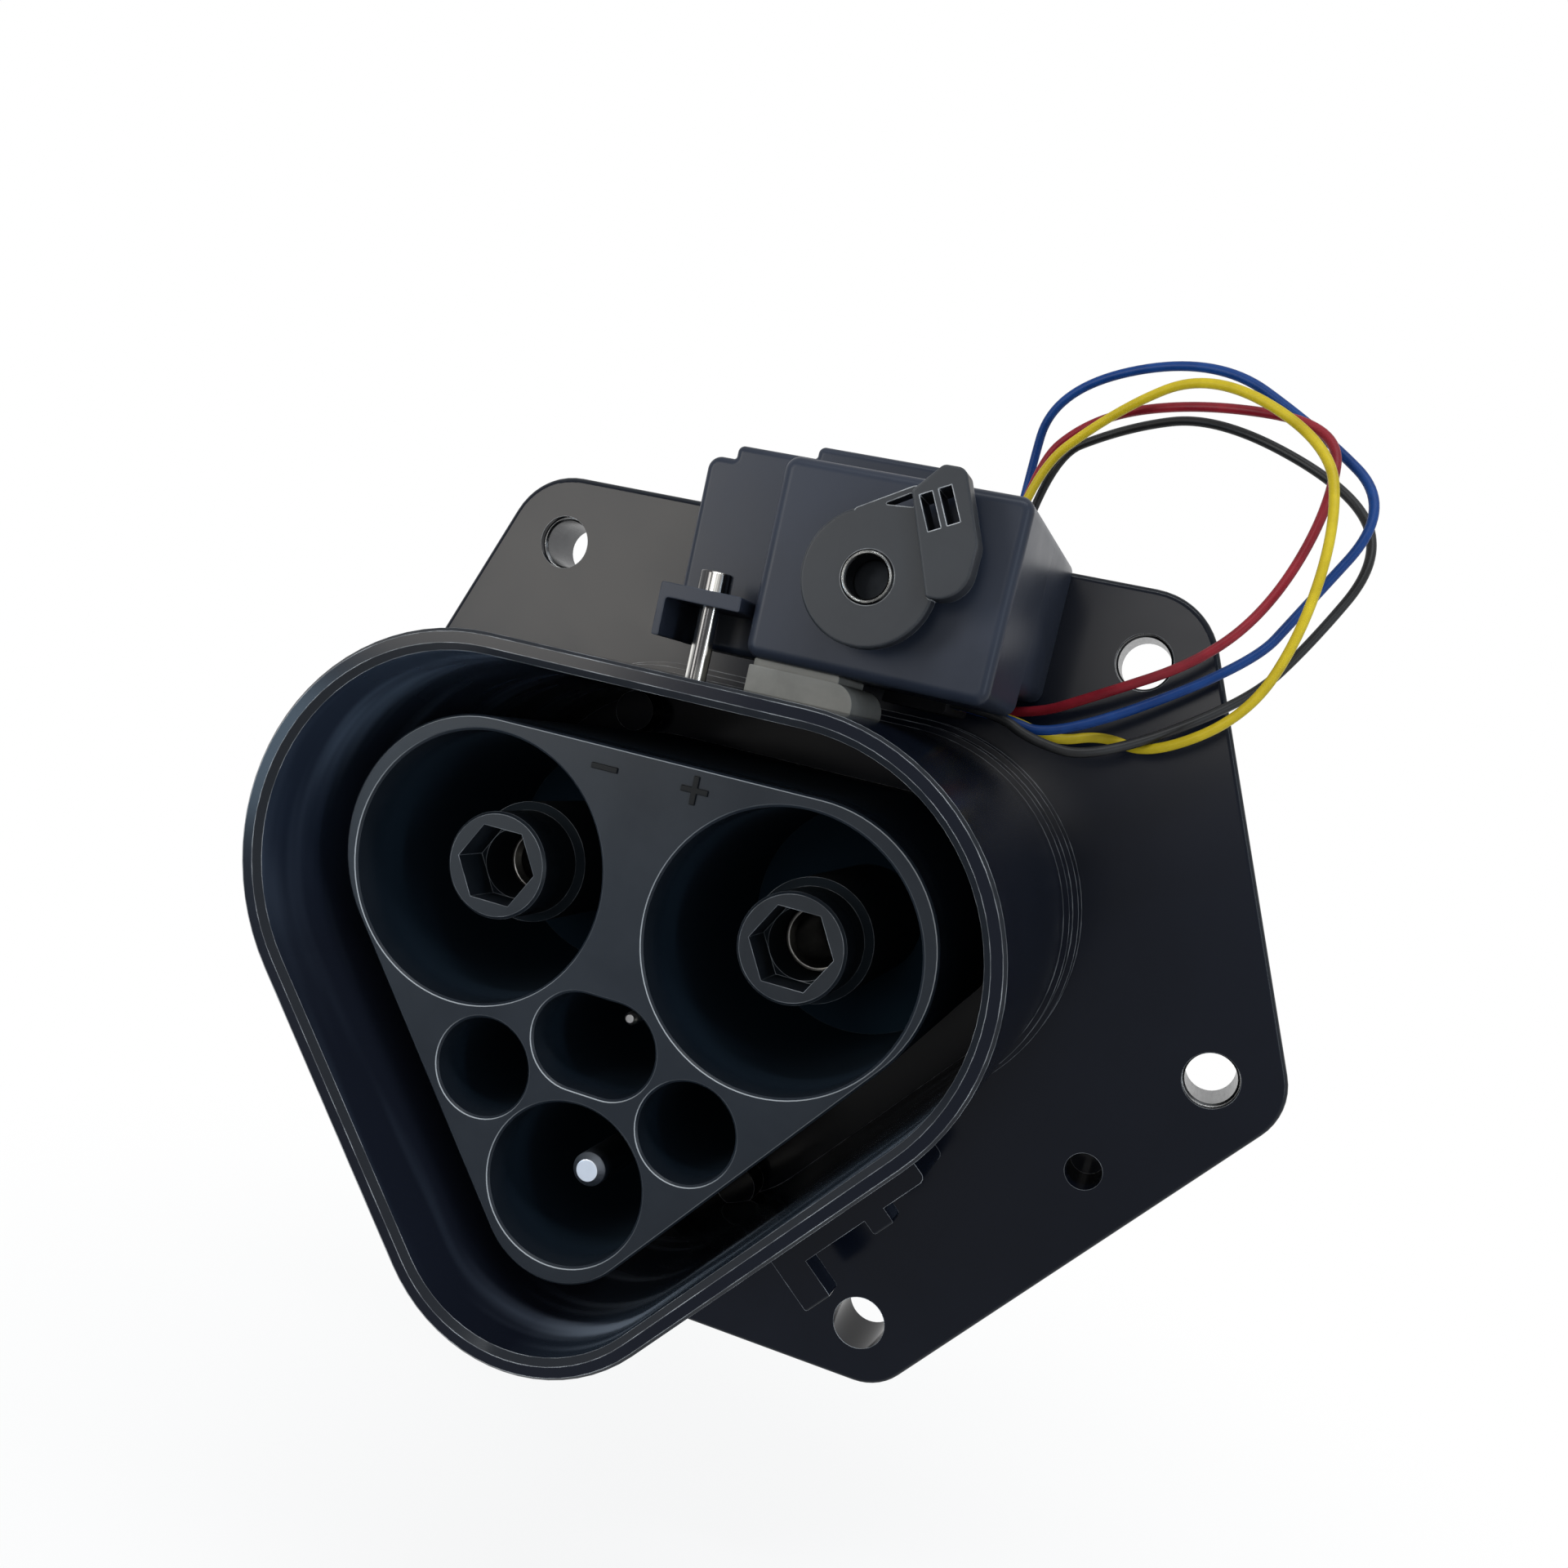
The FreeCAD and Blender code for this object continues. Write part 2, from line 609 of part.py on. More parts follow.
def slot_prism(y0, y1):
    """Level slot with round ends."""
    r = SLOT_HEIGHT / 2
    x = SLOT_WIDTH / 2
    top = -SLOT_DROP + r
    corners = [(x, top, r), (x, top - SLOT_HEIGHT, r), (-x, top - SLOT_HEIGHT, r), (-x, top, r)]
    return rounded_prism(corners, y0, y1)


def signal_pin_places():
    return [(-SLOT_PIN_X, -SLOT_DROP), (SLOT_PIN_X, -SLOT_DROP)]


def square_rod(x, z, width, y0, y1):
    return block_of(x - width / 2, x + width / 2, y0, y1, z - width / 2, z + width / 2)


def hex_rod(x, z, across_flats, y0, y1):
    reach = across_flats / math.sqrt(3)
    corners = []
    for i in range(6):
        turn = math.radians(60 * i)
        corners.append(V(x + reach * math.cos(turn), y0, z + reach * math.sin(turn)))
    return Part.Face(Part.makePolygon(corners + corners[:1])).extrude(V(0, y1 - y0, 0))


def make_contact_block():
    """Front insulator: recesses in its face and a way through for each contact."""
    body = block_prism(FACE_Y, SHOULDER_Y)
    behind = SHOULDER_Y + 1
    cuts = []
    for x in (-POLE_X, POLE_X):
        cuts.append(rod(x, 0, POLE_RECESS_D, FACE_Y - 1, POLE_FLOOR_Y))
        cuts.append(hex_rod(x, 0, POST_SPIGOT_FLATS + 2 * SEAT, POLE_FLOOR_Y - 1, behind))
    cuts.append(rod(0, -EARTH_DROP, EARTH_RECESS_D, FACE_Y - 1, EARTH_FLOOR_Y))
    cuts.append(hex_rod(0, -EARTH_DROP, EARTH_STEM_FLATS + 2 * SEAT, EARTH_FLOOR_Y - 1, behind))
    for x in (-GUIDE_SOCKET_X, GUIDE_SOCKET_X):
        cuts.append(rod(x, -GUIDE_SOCKET_DROP, GUIDE_SOCKET_D, FACE_Y - 1, SIGNAL_FLOOR_Y))
    cuts.append(slot_prism(FACE_Y - 1, SIGNAL_FLOOR_Y))
    for x, z in signal_pin_places():
        cuts.append(square_rod(x, z, SIGNAL_SHANK + 2 * SEAT, SIGNAL_FLOOR_Y - 1, behind))
    for x, z in retainer_screw_places():
        cuts.append(hex_rod(x, z, BLOCK_SCREW_D, RETAINER_SEAT_Y - RETAINER_SCREW_LENGTH - 1, behind))
    body = body.cut(cuts[0].multiFuse(cuts[1:]))
    return body.makeChamfer(BLOCK_EDGE, edges_where(body, flat_at(FACE_Y)))


def make_contact_carrier():
    """Rear insulator that holds the contacts' collars, with a rim that is screwed to the flange."""
    body = block_prism(SHOULDER_Y, BLOCK_BACK_Y)
    body = body.fuse(block_prism(BLOCK_RIM_Y, BLOCK_BACK_Y, grow=BLOCK_RIM_WIDTH))
    before = SHOULDER_Y - 1
    cuts = [rod(x, 0, TERMINAL_D + 2 * SEAT, before, 1) for x in (-POLE_X, POLE_X)]
    cuts.append(rod(0, -EARTH_DROP, EARTH_COLLAR_D + 2 * SEAT, before, 1))
    for x, z in signal_pin_places():
        cuts.append(rod(x, z, SIGNAL_COLLAR_D + 2 * SEAT, before, 1))
    for x, z in block_screw_places() + retainer_screw_places():
        cuts.append(rod(x, z, BLOCK_SCREW_D + 2 * SLIP, before, 1))
    return body.cut(cuts[0].multiFuse(cuts[1:]))


def retainer_screw_places():
    return [(0, BLOCK_SHOULDER_UP + 9.5), (-21.5, -17.5), (21.5, -17.5)]


def make_block_gasket():
    """Flat seal between the block's rim and the flange."""
    ring = block_prism(PLATE_BACK_Y, BLOCK_RIM_Y, grow=BLOCK_RIM_WIDTH - SLIP)
    ring = ring.cut(block_prism(PLATE_BACK_Y - 1, BLOCK_RIM_Y + 1, grow=SLIP))
    holes = [rod(x, z, BLOCK_SCREW_D + 2 * SLIP, PLATE_BACK_Y - 1, 1) for x, z in block_screw_places()]
    return ring.cut(holes[0].multiFuse(holes[1:]))


def make_contact_retainer():
    """Plate behind the block that keeps every contact in its tower."""
    plate = block_prism(BLOCK_BACK_Y, RETAINER_BACK_Y, grow=-RETAINER_MARGIN)
    holes = [rod(x, 0, TERMINAL_NECK_D + 2 * SEAT, BLOCK_BACK_Y - 1, 9) for x in (-POLE_X, POLE_X)]
    holes.append(rod(0, -EARTH_DROP, EARTH_NECK_D + 2 * SEAT, BLOCK_BACK_Y - 1, 9))
    for x, z in signal_pin_places():
        holes.append(rod(x, z, SIGNAL_PIN_D + 2 * SEAT, BLOCK_BACK_Y - 1, 9))
    for x, z in retainer_screw_places():
        holes.append(rod(x, z, BLOCK_SCREW_D + 2 * SLIP, BLOCK_BACK_Y - 1, 9))
        holes.append(rod(x, z, BLOCK_SCREW_HEAD_D + 2 * SLIP, RETAINER_SEAT_Y, 9))
    return plate.cut(holes[0].multiFuse(holes[1:]))


def screw_along_y(x, z, d, head_d, head, y_seat, length, direction):
    """Pan-head screw whose head seats on y_seat and whose shank points along direction."""
    shank = Part.makeCylinder(d / 2, length, V(x, y_seat, z), direction)
    cap = Part.makeCylinder(head_d / 2, head, V(x, y_seat, z), direction * -1)
    screw = cap.fuse(shank)
    drive = Part.makeCylinder(head_d / 5, head * 0.6, V(x, y_seat, z) - direction * (head + 0.01), direction)
    return screw.cut(drive)


def make_block_screws():
    return Part.Compound([screw_along_y(x, z, BLOCK_SCREW_D, BLOCK_SCREW_HEAD_D, BLOCK_SCREW_HEAD,
                                        BLOCK_BACK_Y, BLOCK_SCREW_LENGTH, FRONTWARDS)
                          for x, z in block_screw_places()])


def make_retainer_screws():
    return Part.Compound([screw_along_y(x, z, BLOCK_SCREW_D, BLOCK_SCREW_HEAD_D, BLOCK_SCREW_HEAD,
                                        RETAINER_SEAT_Y, RETAINER_SCREW_LENGTH, FRONTWARDS)
                          for x, z in retainer_screw_places()])


def make_power_post(x):
    """Insulating post with a hexagonal mouth, seated on the recess floor by its spigot."""
    tip_y = FACE_Y + POST_SETBACK
    step_y = tip_y + POST_TIP_LENGTH
    outside = [(0, tip_y), (POST_TIP_D / 2 - 0.3, tip_y), (POST_TIP_D / 2, tip_y + 0.3),
               (POST_TIP_D / 2, step_y), (POST_ROOT_D / 2, step_y + 0.4), (POST_ROOT_D / 2, POLE_FLOOR_Y),
               (0, POLE_FLOOR_Y)]
    body = turned(outside, x, 0)
    body = body.fuse(hex_rod(x, 0, POST_SPIGOT_FLATS, POLE_FLOOR_Y - 1, SHOULDER_Y))
    mouth = hex_rod(x, 0, HEX_ACROSS_FLATS, tip_y - 1, tip_y + HEX_DEPTH)
    bore = rod(x, 0, CONTACT_TUBE_D + 2 * SEAT, tip_y, SHOULDER_Y + 1)
    return body.cut(mouth.fuse(bore))


def make_power_contact(x):
    """Tube contact with a shouldered body and a threaded terminal behind."""
    tip_y = FACE_Y + POST_SETBACK + HEX_DEPTH + CONTACT_TIP_DEPTH
    end_y = RETAINER_BACK_Y + TERMINAL_REACH
    outside = [(0, tip_y), (CONTACT_TUBE_D / 2 - 0.3, tip_y), (CONTACT_TUBE_D / 2, tip_y + 0.3),
               (CONTACT_TUBE_D / 2, SHOULDER_Y), (TERMINAL_D / 2, SHOULDER_Y), (TERMINAL_D / 2, BLOCK_BACK_Y),
               (TERMINAL_NECK_D / 2, BLOCK_BACK_Y), (TERMINAL_NECK_D / 2, end_y - 0.6),
               (TERMINAL_NECK_D / 2 - 0.6, end_y), (0, end_y)]
    body = turned(outside, x, 0)
    r = CONTACT_TUBE_BORE_D / 2
    floor_y = tip_y + CONTACT_TUBE_BORE_DEPTH
    mouth = [(0, tip_y), (r + 0.5, tip_y), (r, tip_y + 0.8), (r, floor_y), (0, floor_y + 1)]
    thread = rod(x, 0, TERMINAL_THREAD_D, end_y - TERMINAL_THREAD_DEPTH, end_y + 1)
    return body.cut(turned(mouth, x, 0).fuse(thread))


def make_earth_contact():
    """Round pin with a pointed tip, on a hexagonal stem and a shouldered body with a threaded end."""
    tip_y = FACE_Y + EARTH_PIN_SETBACK
    end_y = RETAINER_BACK_Y + EARTH_REACH
    r = EARTH_PIN_D / 2
    outside = [(0, tip_y), (r - EARTH_PIN_POINT, tip_y), (r, tip_y + EARTH_PIN_POINT), (r, SHOULDER_Y),
               (EARTH_COLLAR_D / 2, SHOULDER_Y), (EARTH_COLLAR_D / 2, BLOCK_BACK_Y),
               (EARTH_NECK_D / 2, BLOCK_BACK_Y), (EARTH_NECK_D / 2, end_y - 0.5),
               (EARTH_NECK_D / 2 - 0.5, end_y), (0, end_y)]
    thread = rod(0, -EARTH_DROP, EARTH_THREAD_D, end_y - EARTH_THREAD_DEPTH, end_y + 1)
    stem = hex_rod(0, -EARTH_DROP, EARTH_STEM_FLATS, EARTH_FLOOR_Y, SHOULDER_Y + 1)
    return turned(outside, 0, -EARTH_DROP).fuse(stem).cut(thread)


def make_signal_pins():
    pins = []
    tip_y = FACE_Y + SIGNAL_PIN_SETBACK
    end_y = RETAINER_BACK_Y + SIGNAL_REACH
    r = SIGNAL_PIN_D / 2
    for x, z in signal_pin_places():
        outside = [(0, tip_y), (r - 0.3, tip_y), (r, tip_y + 0.5), (r, SHOULDER_Y),
                   (SIGNAL_COLLAR_D / 2, SHOULDER_Y), (SIGNAL_COLLAR_D / 2, BLOCK_BACK_Y),
                   (r, BLOCK_BACK_Y), (r, end_y), (0, end_y)]
        shank = square_rod(x, z, SIGNAL_SHANK, SIGNAL_FLOOR_Y, SHOULDER_Y + 1)
        pins.append(turned(outside, x, z).fuse(shank))
    return Part.Compound(pins)


def case_outline(bottom, inset=0.0):
    """Stepped outline of the actuator case seen from the front, moved inwards by a wall."""
    r = CASE_CORNER - inset if CASE_CORNER > inset else 0.1
    low = CASE_TOP_Z - inset
    return [
        (CASE_LEFT_X + inset, bottom + inset, r), (CASE_RIGHT_X - inset, bottom + inset, r),
        (CASE_RIGHT_X - inset, low, r), (HUMP_RIGHT_X - inset, low, 0.4),
        (HUMP_RIGHT_X - inset, low + HUMP_HIGH, r), (HUMP_MID_X + inset, low + HUMP_HIGH, 0.8),
        (HUMP_MID_X + inset, low + HUMP_LOW, 0.3), (HUMP_LEFT_X + inset, low + HUMP_LOW, 0.8),
        (HUMP_LEFT_X + inset, low, 0.3), (CASE_LEFT_X + inset, low, r),
    ]


def front_outline(inset=0.0):
    """Outline of the part of the case that carries the lever."""
    r = CASE_CORNER - inset if CASE_CORNER > inset else 0.1
    return [(CASE_STEP_X + inset, CASE_BOTTOM_Z + inset, r), (CASE_RIGHT_X - inset, CASE_BOTTOM_Z + inset, r),
            (CASE_RIGHT_X - inset, CASE_TOP_Z - inset, r), (CASE_STEP_X + inset, CASE_TOP_Z - inset, r)]


def make_ear():
    """Angled ear on the case's set-back part."""
    under = EAR_TOP_Z - EAR_PLATE
    inner = EAR_LEFT_X + EAR_SIDE
    bend = [(EAR_LEFT_X, EAR_TOP_Z, 0.3), (EAR_RIGHT_X, EAR_TOP_Z, 0.3), (EAR_RIGHT_X, under, 0.2),
            (inner, under, 0.4), (inner, CASE_BOTTOM_Z, 0.2), (EAR_LEFT_X, CASE_BOTTOM_Z, 0.2)]
    return rounded_prism(bend, EAR_FRONT_Y, CASE_STEP_Y + CASE_WALL / 2)


def make_actuator_housing():
    """Front shell of the lock actuator, open behind, with the ear, bearing seat and screw bosses."""
    back = rounded_prism(case_outline(CASE_BOTTOM_Z), CASE_STEP_Y, CASE_SPLIT_Y)
    back = back.makeFillet(0.8, edges_where(back, flat_at(CASE_STEP_Y)))
    front = rounded_prism(front_outline(), CASE_FRONT_Y, CASE_STEP_Y + 3)
    front = front.makeFillet(1.2, edges_where(front, flat_at(CASE_FRONT_Y)))
    shell = back.multiFuse([front, make_ear()])
    hollow = rounded_prism(case_outline(CASE_BOTTOM_Z, CASE_WALL), CASE_STEP_Y + CASE_WALL, CASE_SPLIT_Y + 1)
    front_hollow = rounded_prism(front_outline(CASE_WALL), CASE_FRONT_Y + CASE_WALL, CASE_SPLIT_Y)
    shell = shell.cut(hollow.fuse(front_hollow))
    bosses = [rod(SHAFT_X, SHAFT_Z, BEARING_D + 3.0, CASE_FRONT_Y + 0.2, CASE_FRONT_Y + 3.6),
              post(LOCK_PIN_X, LOCK_PIN_Y, LOCK_PIN_D + 3.0, CASE_BOTTOM_Z + 0.2,
                   CASE_BOTTOM_Z + CASE_WALL + 0.2)]
    for x, z in gearbox_screw_places():
        bosses.append(rod(x, z, GEARBOX_SCREW_D + 2.6, CASE_FRONT_Y + 1, GEARBOX_Y))
    for x, z in case_screw_places():
        front_y = CASE_STEP_Y + 1 if x < CASE_STEP_X else CASE_FRONT_Y + 1
        bosses.append(rod(x, z, CASE_BOSS_D, front_y, CASE_SPLIT_Y))
    shell = shell.multiFuse(bosses)
    cuts = [rod(SHAFT_X, SHAFT_Z, BEARING_D, CASE_FRONT_Y - 1, CASE_FRONT_Y + 3.0),
            rod(SHAFT_X, SHAFT_Z, SHAFT_D + 4 * SLIP, CASE_FRONT_Y - 1, CASE_FRONT_Y + 5),
            post(LOCK_PIN_X, LOCK_PIN_Y, LOCK_PIN_D + 2 * SLIP, CASE_BOTTOM_Z - 1, CASE_BOTTOM_Z + 3),
            post(EAR_SCREW_X, EAR_SCREW_Y, EAR_SCREW_D + 2 * SLIP, CASE_BOTTOM_Z - 1, EAR_TOP_Z + 1)]
    for x, z in gearbox_screw_places():
        cuts.append(rod(x, z, GEARBOX_SCREW_D, GEARBOX_Y - 6, GEARBOX_Y + 1))
    for x, z in case_screw_places():
        cuts.append(rod(x, z, GEARBOX_SCREW_D, CASE_SPLIT_Y - 7, CASE_SPLIT_Y + 1))
    return shell.cut(cuts[0].multiFuse(cuts[1:]))


def make_actuator_cover():
    """Rear shell of the lock actuator, seated on the flange, raised at the bottom for the wires."""
    shell = rounded_prism(case_outline(COVER_BOTTOM_Z), CASE_SPLIT_Y, PLATE_FRONT_Y)
    inside = case_outline(COVER_BOTTOM_Z, CASE_WALL)
    hollow = rounded_prism(inside, CASE_SPLIT_Y - 1, PLATE_FRONT_Y - CASE_WALL)
    shell = shell.cut(hollow)
    bosses = [rod(x, z, CASE_BOSS_D, CASE_SPLIT_Y, PLATE_FRONT_Y) for x, z in case_screw_places()]
    for x, z in actuator_screw_places():
        bosses.append(rod(x, z, BLOCK_SCREW_D + 3.4, PLATE_FRONT_Y - 9, PLATE_FRONT_Y))
    shell = shell.multiFuse(bosses)
    cuts = []
    for x, z in case_screw_places():
        cuts.append(rod(x, z, GEARBOX_SCREW_D + 2 * SLIP, CASE_SPLIT_Y - 1, 1))
        cuts.append(rod(x, z, GEARBOX_SCREW_HEAD_D + 2 * SLIP, PLATE_FRONT_Y - COVER_HEAD_SINK, 1))
    for x, z in actuator_screw_places():
        cuts.append(rod(x, z, BLOCK_SCREW_D, PLATE_FRONT_Y - 8, 1))
    return shell.cut(cuts[0].multiFuse(cuts[1:]))


def make_cover_screws():
    return Part.Compound([screw_along_y(x, z, GEARBOX_SCREW_D, GEARBOX_SCREW_HEAD_D, GEARBOX_SCREW_HEAD,
                                        PLATE_FRONT_Y - COVER_HEAD_SINK, CASE_SPLIT_LEAD + COVER_SCREW_BITE,
                                        FRONTWARDS) for x, z in case_screw_places()])


def make_actuator_screws():
    return Part.Compound([screw_along_y(x, z, BLOCK_SCREW_D, BLOCK_SCREW_HEAD_D, BLOCK_SCREW_HEAD,
                                        PLATE_BACK_Y, FLANGE_PLATE + ACTUATOR_SCREW_BITE, FRONTWARDS)
                          for x, z in actuator_screw_places()])


def make_ear_screw():
    """Cap screw with a hexagon socket, down through the ear into the shroud's wall."""
    bottom = shroud_top_z() - SHROUD_WALL
    shank = post(EAR_SCREW_X, EAR_SCREW_Y, EAR_SCREW_D, bottom, EAR_TOP_Z)
    head = post(EAR_SCREW_X, EAR_SCREW_Y, EAR_SCREW_HEAD_D, EAR_TOP_Z, EAR_TOP_Z + EAR_SCREW_HEAD)
    head_top = EAR_TOP_Z + EAR_SCREW_HEAD
    head = head.makeFillet(0.25, [e for e in head.Edges if e.BoundBox.ZMin > head_top - 1e-6])
    corners = []
    for i in range(6):
        turn = math.radians(60 * i)
        reach = EAR_SCREW_SOCKET / math.sqrt(3)
        corners.append(V(EAR_SCREW_X + reach * math.cos(turn), EAR_SCREW_Y + reach * math.sin(turn),
                         EAR_TOP_Z + 1.0))
    socket = Part.Face(Part.makePolygon(corners + corners[:1])).extrude(V(0, 0, EAR_SCREW_HEAD))
    return head.fuse(shank).cut(socket)


def from_shaft(points):
    """Corners (x, z, radius) given from the shaft's middle, moved to their place."""
    return [(SHAFT_X + x, SHAFT_Z + z, r) for x, z, r in points]


def make_release_lever():
    """Disc with a raised arm; the arm has two windows and a wedge-shaped gap beside the disc."""
    disc = rod(SHAFT_X, SHAFT_Z, LEVER_D, DISC_FRONT_Y, DISC_BACK_Y)
    disc = disc.makeFillet(0.3, edges_where(disc, flat_at(DISC_FRONT_Y)))
    hub = rod(SHAFT_X, SHAFT_Z, LEVER_HUB_D, DISC_FRONT_Y + 1, LEVER_BACK_Y)
    arm_face = rounded_face(from_shaft([(2.75, 9.0, 0.4), (5.35, 12.0, 0.9), (7.65, 12.0, 1.2),
                                        (10.55, 5.0, 2.0), (10.4, -0.9, 3.2), (6.6, -0.9, 0.3)]), ARM_FRONT_Y)
    arm = arm_face.extrude(V(0, DISC_BACK_Y - ARM_FRONT_Y, 0))
    arm = arm.makeFillet(0.25, edges_where(arm, flat_at(ARM_FRONT_Y)))
    back = arm_face.makeOffset2D(-ARM_RELIEF).extrude(V(0, ARM_BACK_Y - ARM_FRONT_Y - 1, 0))
    back.translate(V(0, 1, 0))
    bridge = rounded_prism(from_shaft([(-3.2, 6.3, 0.5), (2.9, 9.8, 1.0), (5.0, 9.0, 0.5), (5.2, 3.4, 0),
                                       (0, 3.4, 0)]), DISC_FRONT_Y, DISC_BACK_Y)
    lever = disc.multiFuse([hub, arm, back, bridge])
    wedge = from_shaft([(-0.05, 7.35, 0.1), (2.65, 8.95, 0.2), (3.2, 7.6, 0.2)])
    cuts = [rounded_prism(wedge, ARM_FRONT_Y - 1, ARM_BACK_Y + 1),
            rod(SHAFT_X, SHAFT_Z, LEVER_BUSH_D, ARM_FRONT_Y - 1, LEVER_BACK_Y + 1)]
    for place in (0, 1):
        window = block_of(-WINDOW_WIDTH / 2, WINDOW_WIDTH / 2, ARM_FRONT_Y - 1, ARM_BACK_Y + 1,
                          -WINDOW_HEIGHT / 2, WINDOW_HEIGHT / 2)
        window.rotate(V(0, 0, 0), V(0, -1, 0), WINDOW_LEAN)
        window.translate(V(SHAFT_X + 5.1 + 1.75 * place, 0, SHAFT_Z + 7.3 + 0.9 * place))
        cuts.append(window)
    return lever.cut(cuts[0].multiFuse(cuts[1:]))


def make_lever_bush():
    ring = rod(SHAFT_X, SHAFT_Z, LEVER_BUSH_D, DISC_FRONT_Y - 0.3, LEVER_BACK_Y)
    ring = ring.cut(rod(SHAFT_X, SHAFT_Z, SHAFT_D, DISC_FRONT_Y - 1, LEVER_BACK_Y + 1))
    return ring.makeChamfer(0.25, edges_where(ring, flat_at(DISC_FRONT_Y - 0.3)))


def make_shaft_bearing():
    ring = rod(SHAFT_X, SHAFT_Z, BEARING_D, CASE_FRONT_Y, CASE_FRONT_Y + 3.0)
    return ring.cut(rod(SHAFT_X, SHAFT_Z, SHAFT_D + 2 * SLIP, CASE_FRONT_Y - 1, CASE_FRONT_Y + 4))


def pinion_face():
    """Pinion outline with straight-sided teeth, slightly slimmer than the rack's gaps."""
    outer = PINION_PITCH_R + GEAR_MODULE - TOOTH_PLAY
    root = PINION_PITCH_R - 1.15 * GEAR_MODULE
    tooth = math.pi * GEAR_MODULE / 2 - 2 * TOOTH_PLAY
    points = []
    for i in range(PINION_TEETH):
        middle = math.radians(180) + 2 * math.pi * i / PINION_TEETH
        for reach, width in ((root, tooth * 1.2), (PINION_PITCH_R, tooth), (outer, tooth * 0.42)):
            points.append((reach, middle - width / 2 / reach))
        for reach, width in ((outer, tooth * 0.42), (PINION_PITCH_R, tooth), (root, tooth * 1.2)):
            points.append((reach, middle + width / 2 / reach))
    ring = [V(SHAFT_X + r * math.cos(a), PINION_Y, SHAFT_Z + r * math.sin(a)) for r, a in points]
    return Part.Face(Part.makePolygon(ring + ring[:1]))


def make_output_shaft():
    """Shaft with its pinion, from the sunk front end in the lever to the gearbox."""
    start = DISC_FRONT_Y + SHAFT_SUNK
    end = GEARBOX_Y + GEARBOX_LENGTH - 1.5
    shaft = rod(SHAFT_X, SHAFT_Z, SHAFT_D, start, end)
    pinion = pinion_face().extrude(V(0, PINION_WIDTH, 0))
    return shaft.fuse(pinion)


def make_lock_pin():
    """Round pin with a toothed rack on top, drawn up clear of the mouth."""
    pitch = math.pi * GEAR_MODULE
    top = RACK_BOTTOM_Z + RACK_LENGTH
    points = [(RACK_X, RACK_BOTTOM_Z), (RACK_ROOT_X, RACK_BOTTOM_Z)]
    first = SHAFT_Z - pitch / 2
    low = math.ceil((RACK_BOTTOM_Z + pitch / 2 - first) / pitch)
    high = math.floor((top - pitch / 2 - first) / pitch)
    tooth = pitch / 2 - 2 * TOOTH_PLAY
    tip_x = RACK_PITCH_X + GEAR_MODULE - TOOTH_PLAY
    for i in range(low, high + 1):
        z = first + i * pitch
        points += [(RACK_ROOT_X, z - tooth * 0.78), (tip_x, z - tooth * 0.24),
                   (tip_x, z + tooth * 0.24), (RACK_ROOT_X, z + tooth * 0.78)]
    points += [(RACK_ROOT_X, top), (RACK_X, top)]
    ring = [V(x, PINION_Y, z) for x, z in points]
    rack = Part.Face(Part.makePolygon(ring + ring[:1])).extrude(V(0, PINION_WIDTH, 0))
    bottom = shroud_top_z() - SHROUD_WALL + LOCK_PIN_TIP
    pin = post(LOCK_PIN_X, LOCK_PIN_Y, LOCK_PIN_D, bottom, RACK_BOTTOM_Z + 1)
    pin = pin.makeChamfer(0.5, [e for e in pin.Edges if e.BoundBox.ZMax < bottom + 1e-6])
    return rack.fuse(pin)


def make_lock_seal():
    """Pale soft block on the shroud, round at its right end, with a raised neck around the lock pin."""
    bottom = shroud_top_z()
    lip_top = CASE_BOTTOM_Z - SEAL_STEP
    outline = [(SEAL_LEFT_X, bottom, 0), (SEAL_RIGHT_X, bottom, 0), (SEAL_RIGHT_X, lip_top, SEAL_CORNER),
               (SEAL_LEFT_X, lip_top, 0.2)]
    body = rounded_prism(outline, CASE_FRONT_Y + 0.2, CASE_FRONT_Y + SEAL_LENGTH)
    neck = [(SEAL_LEFT_X, bottom, 0), (SEAL_RIGHT_X - SEAL_CORNER, bottom, 0),
            (SEAL_RIGHT_X - SEAL_CORNER, CASE_BOTTOM_Z, 0.3), (SEAL_LEFT_X, CASE_BOTTOM_Z, 0.2)]
    body = body.fuse(rounded_prism(neck, CASE_FRONT_Y + SEAL_LIP, CASE_FRONT_Y + SEAL_LENGTH - SEAL_LIP))
    return body.cut(post(LOCK_PIN_X, LOCK_PIN_Y, LOCK_PIN_D + 4 * SLIP, bottom - 1, CASE_BOTTOM_Z + 1))


def gearbox_screw_places():
    x = SHAFT_X + GEARBOX_RIGHT - GEARBOX_SCREW_D
    return [(x, SHAFT_Z - GEARBOX_DROP + GEARBOX_SCREW_D), (x, SHAFT_Z + GEARBOX_RISE - GEARBOX_SCREW_D)]


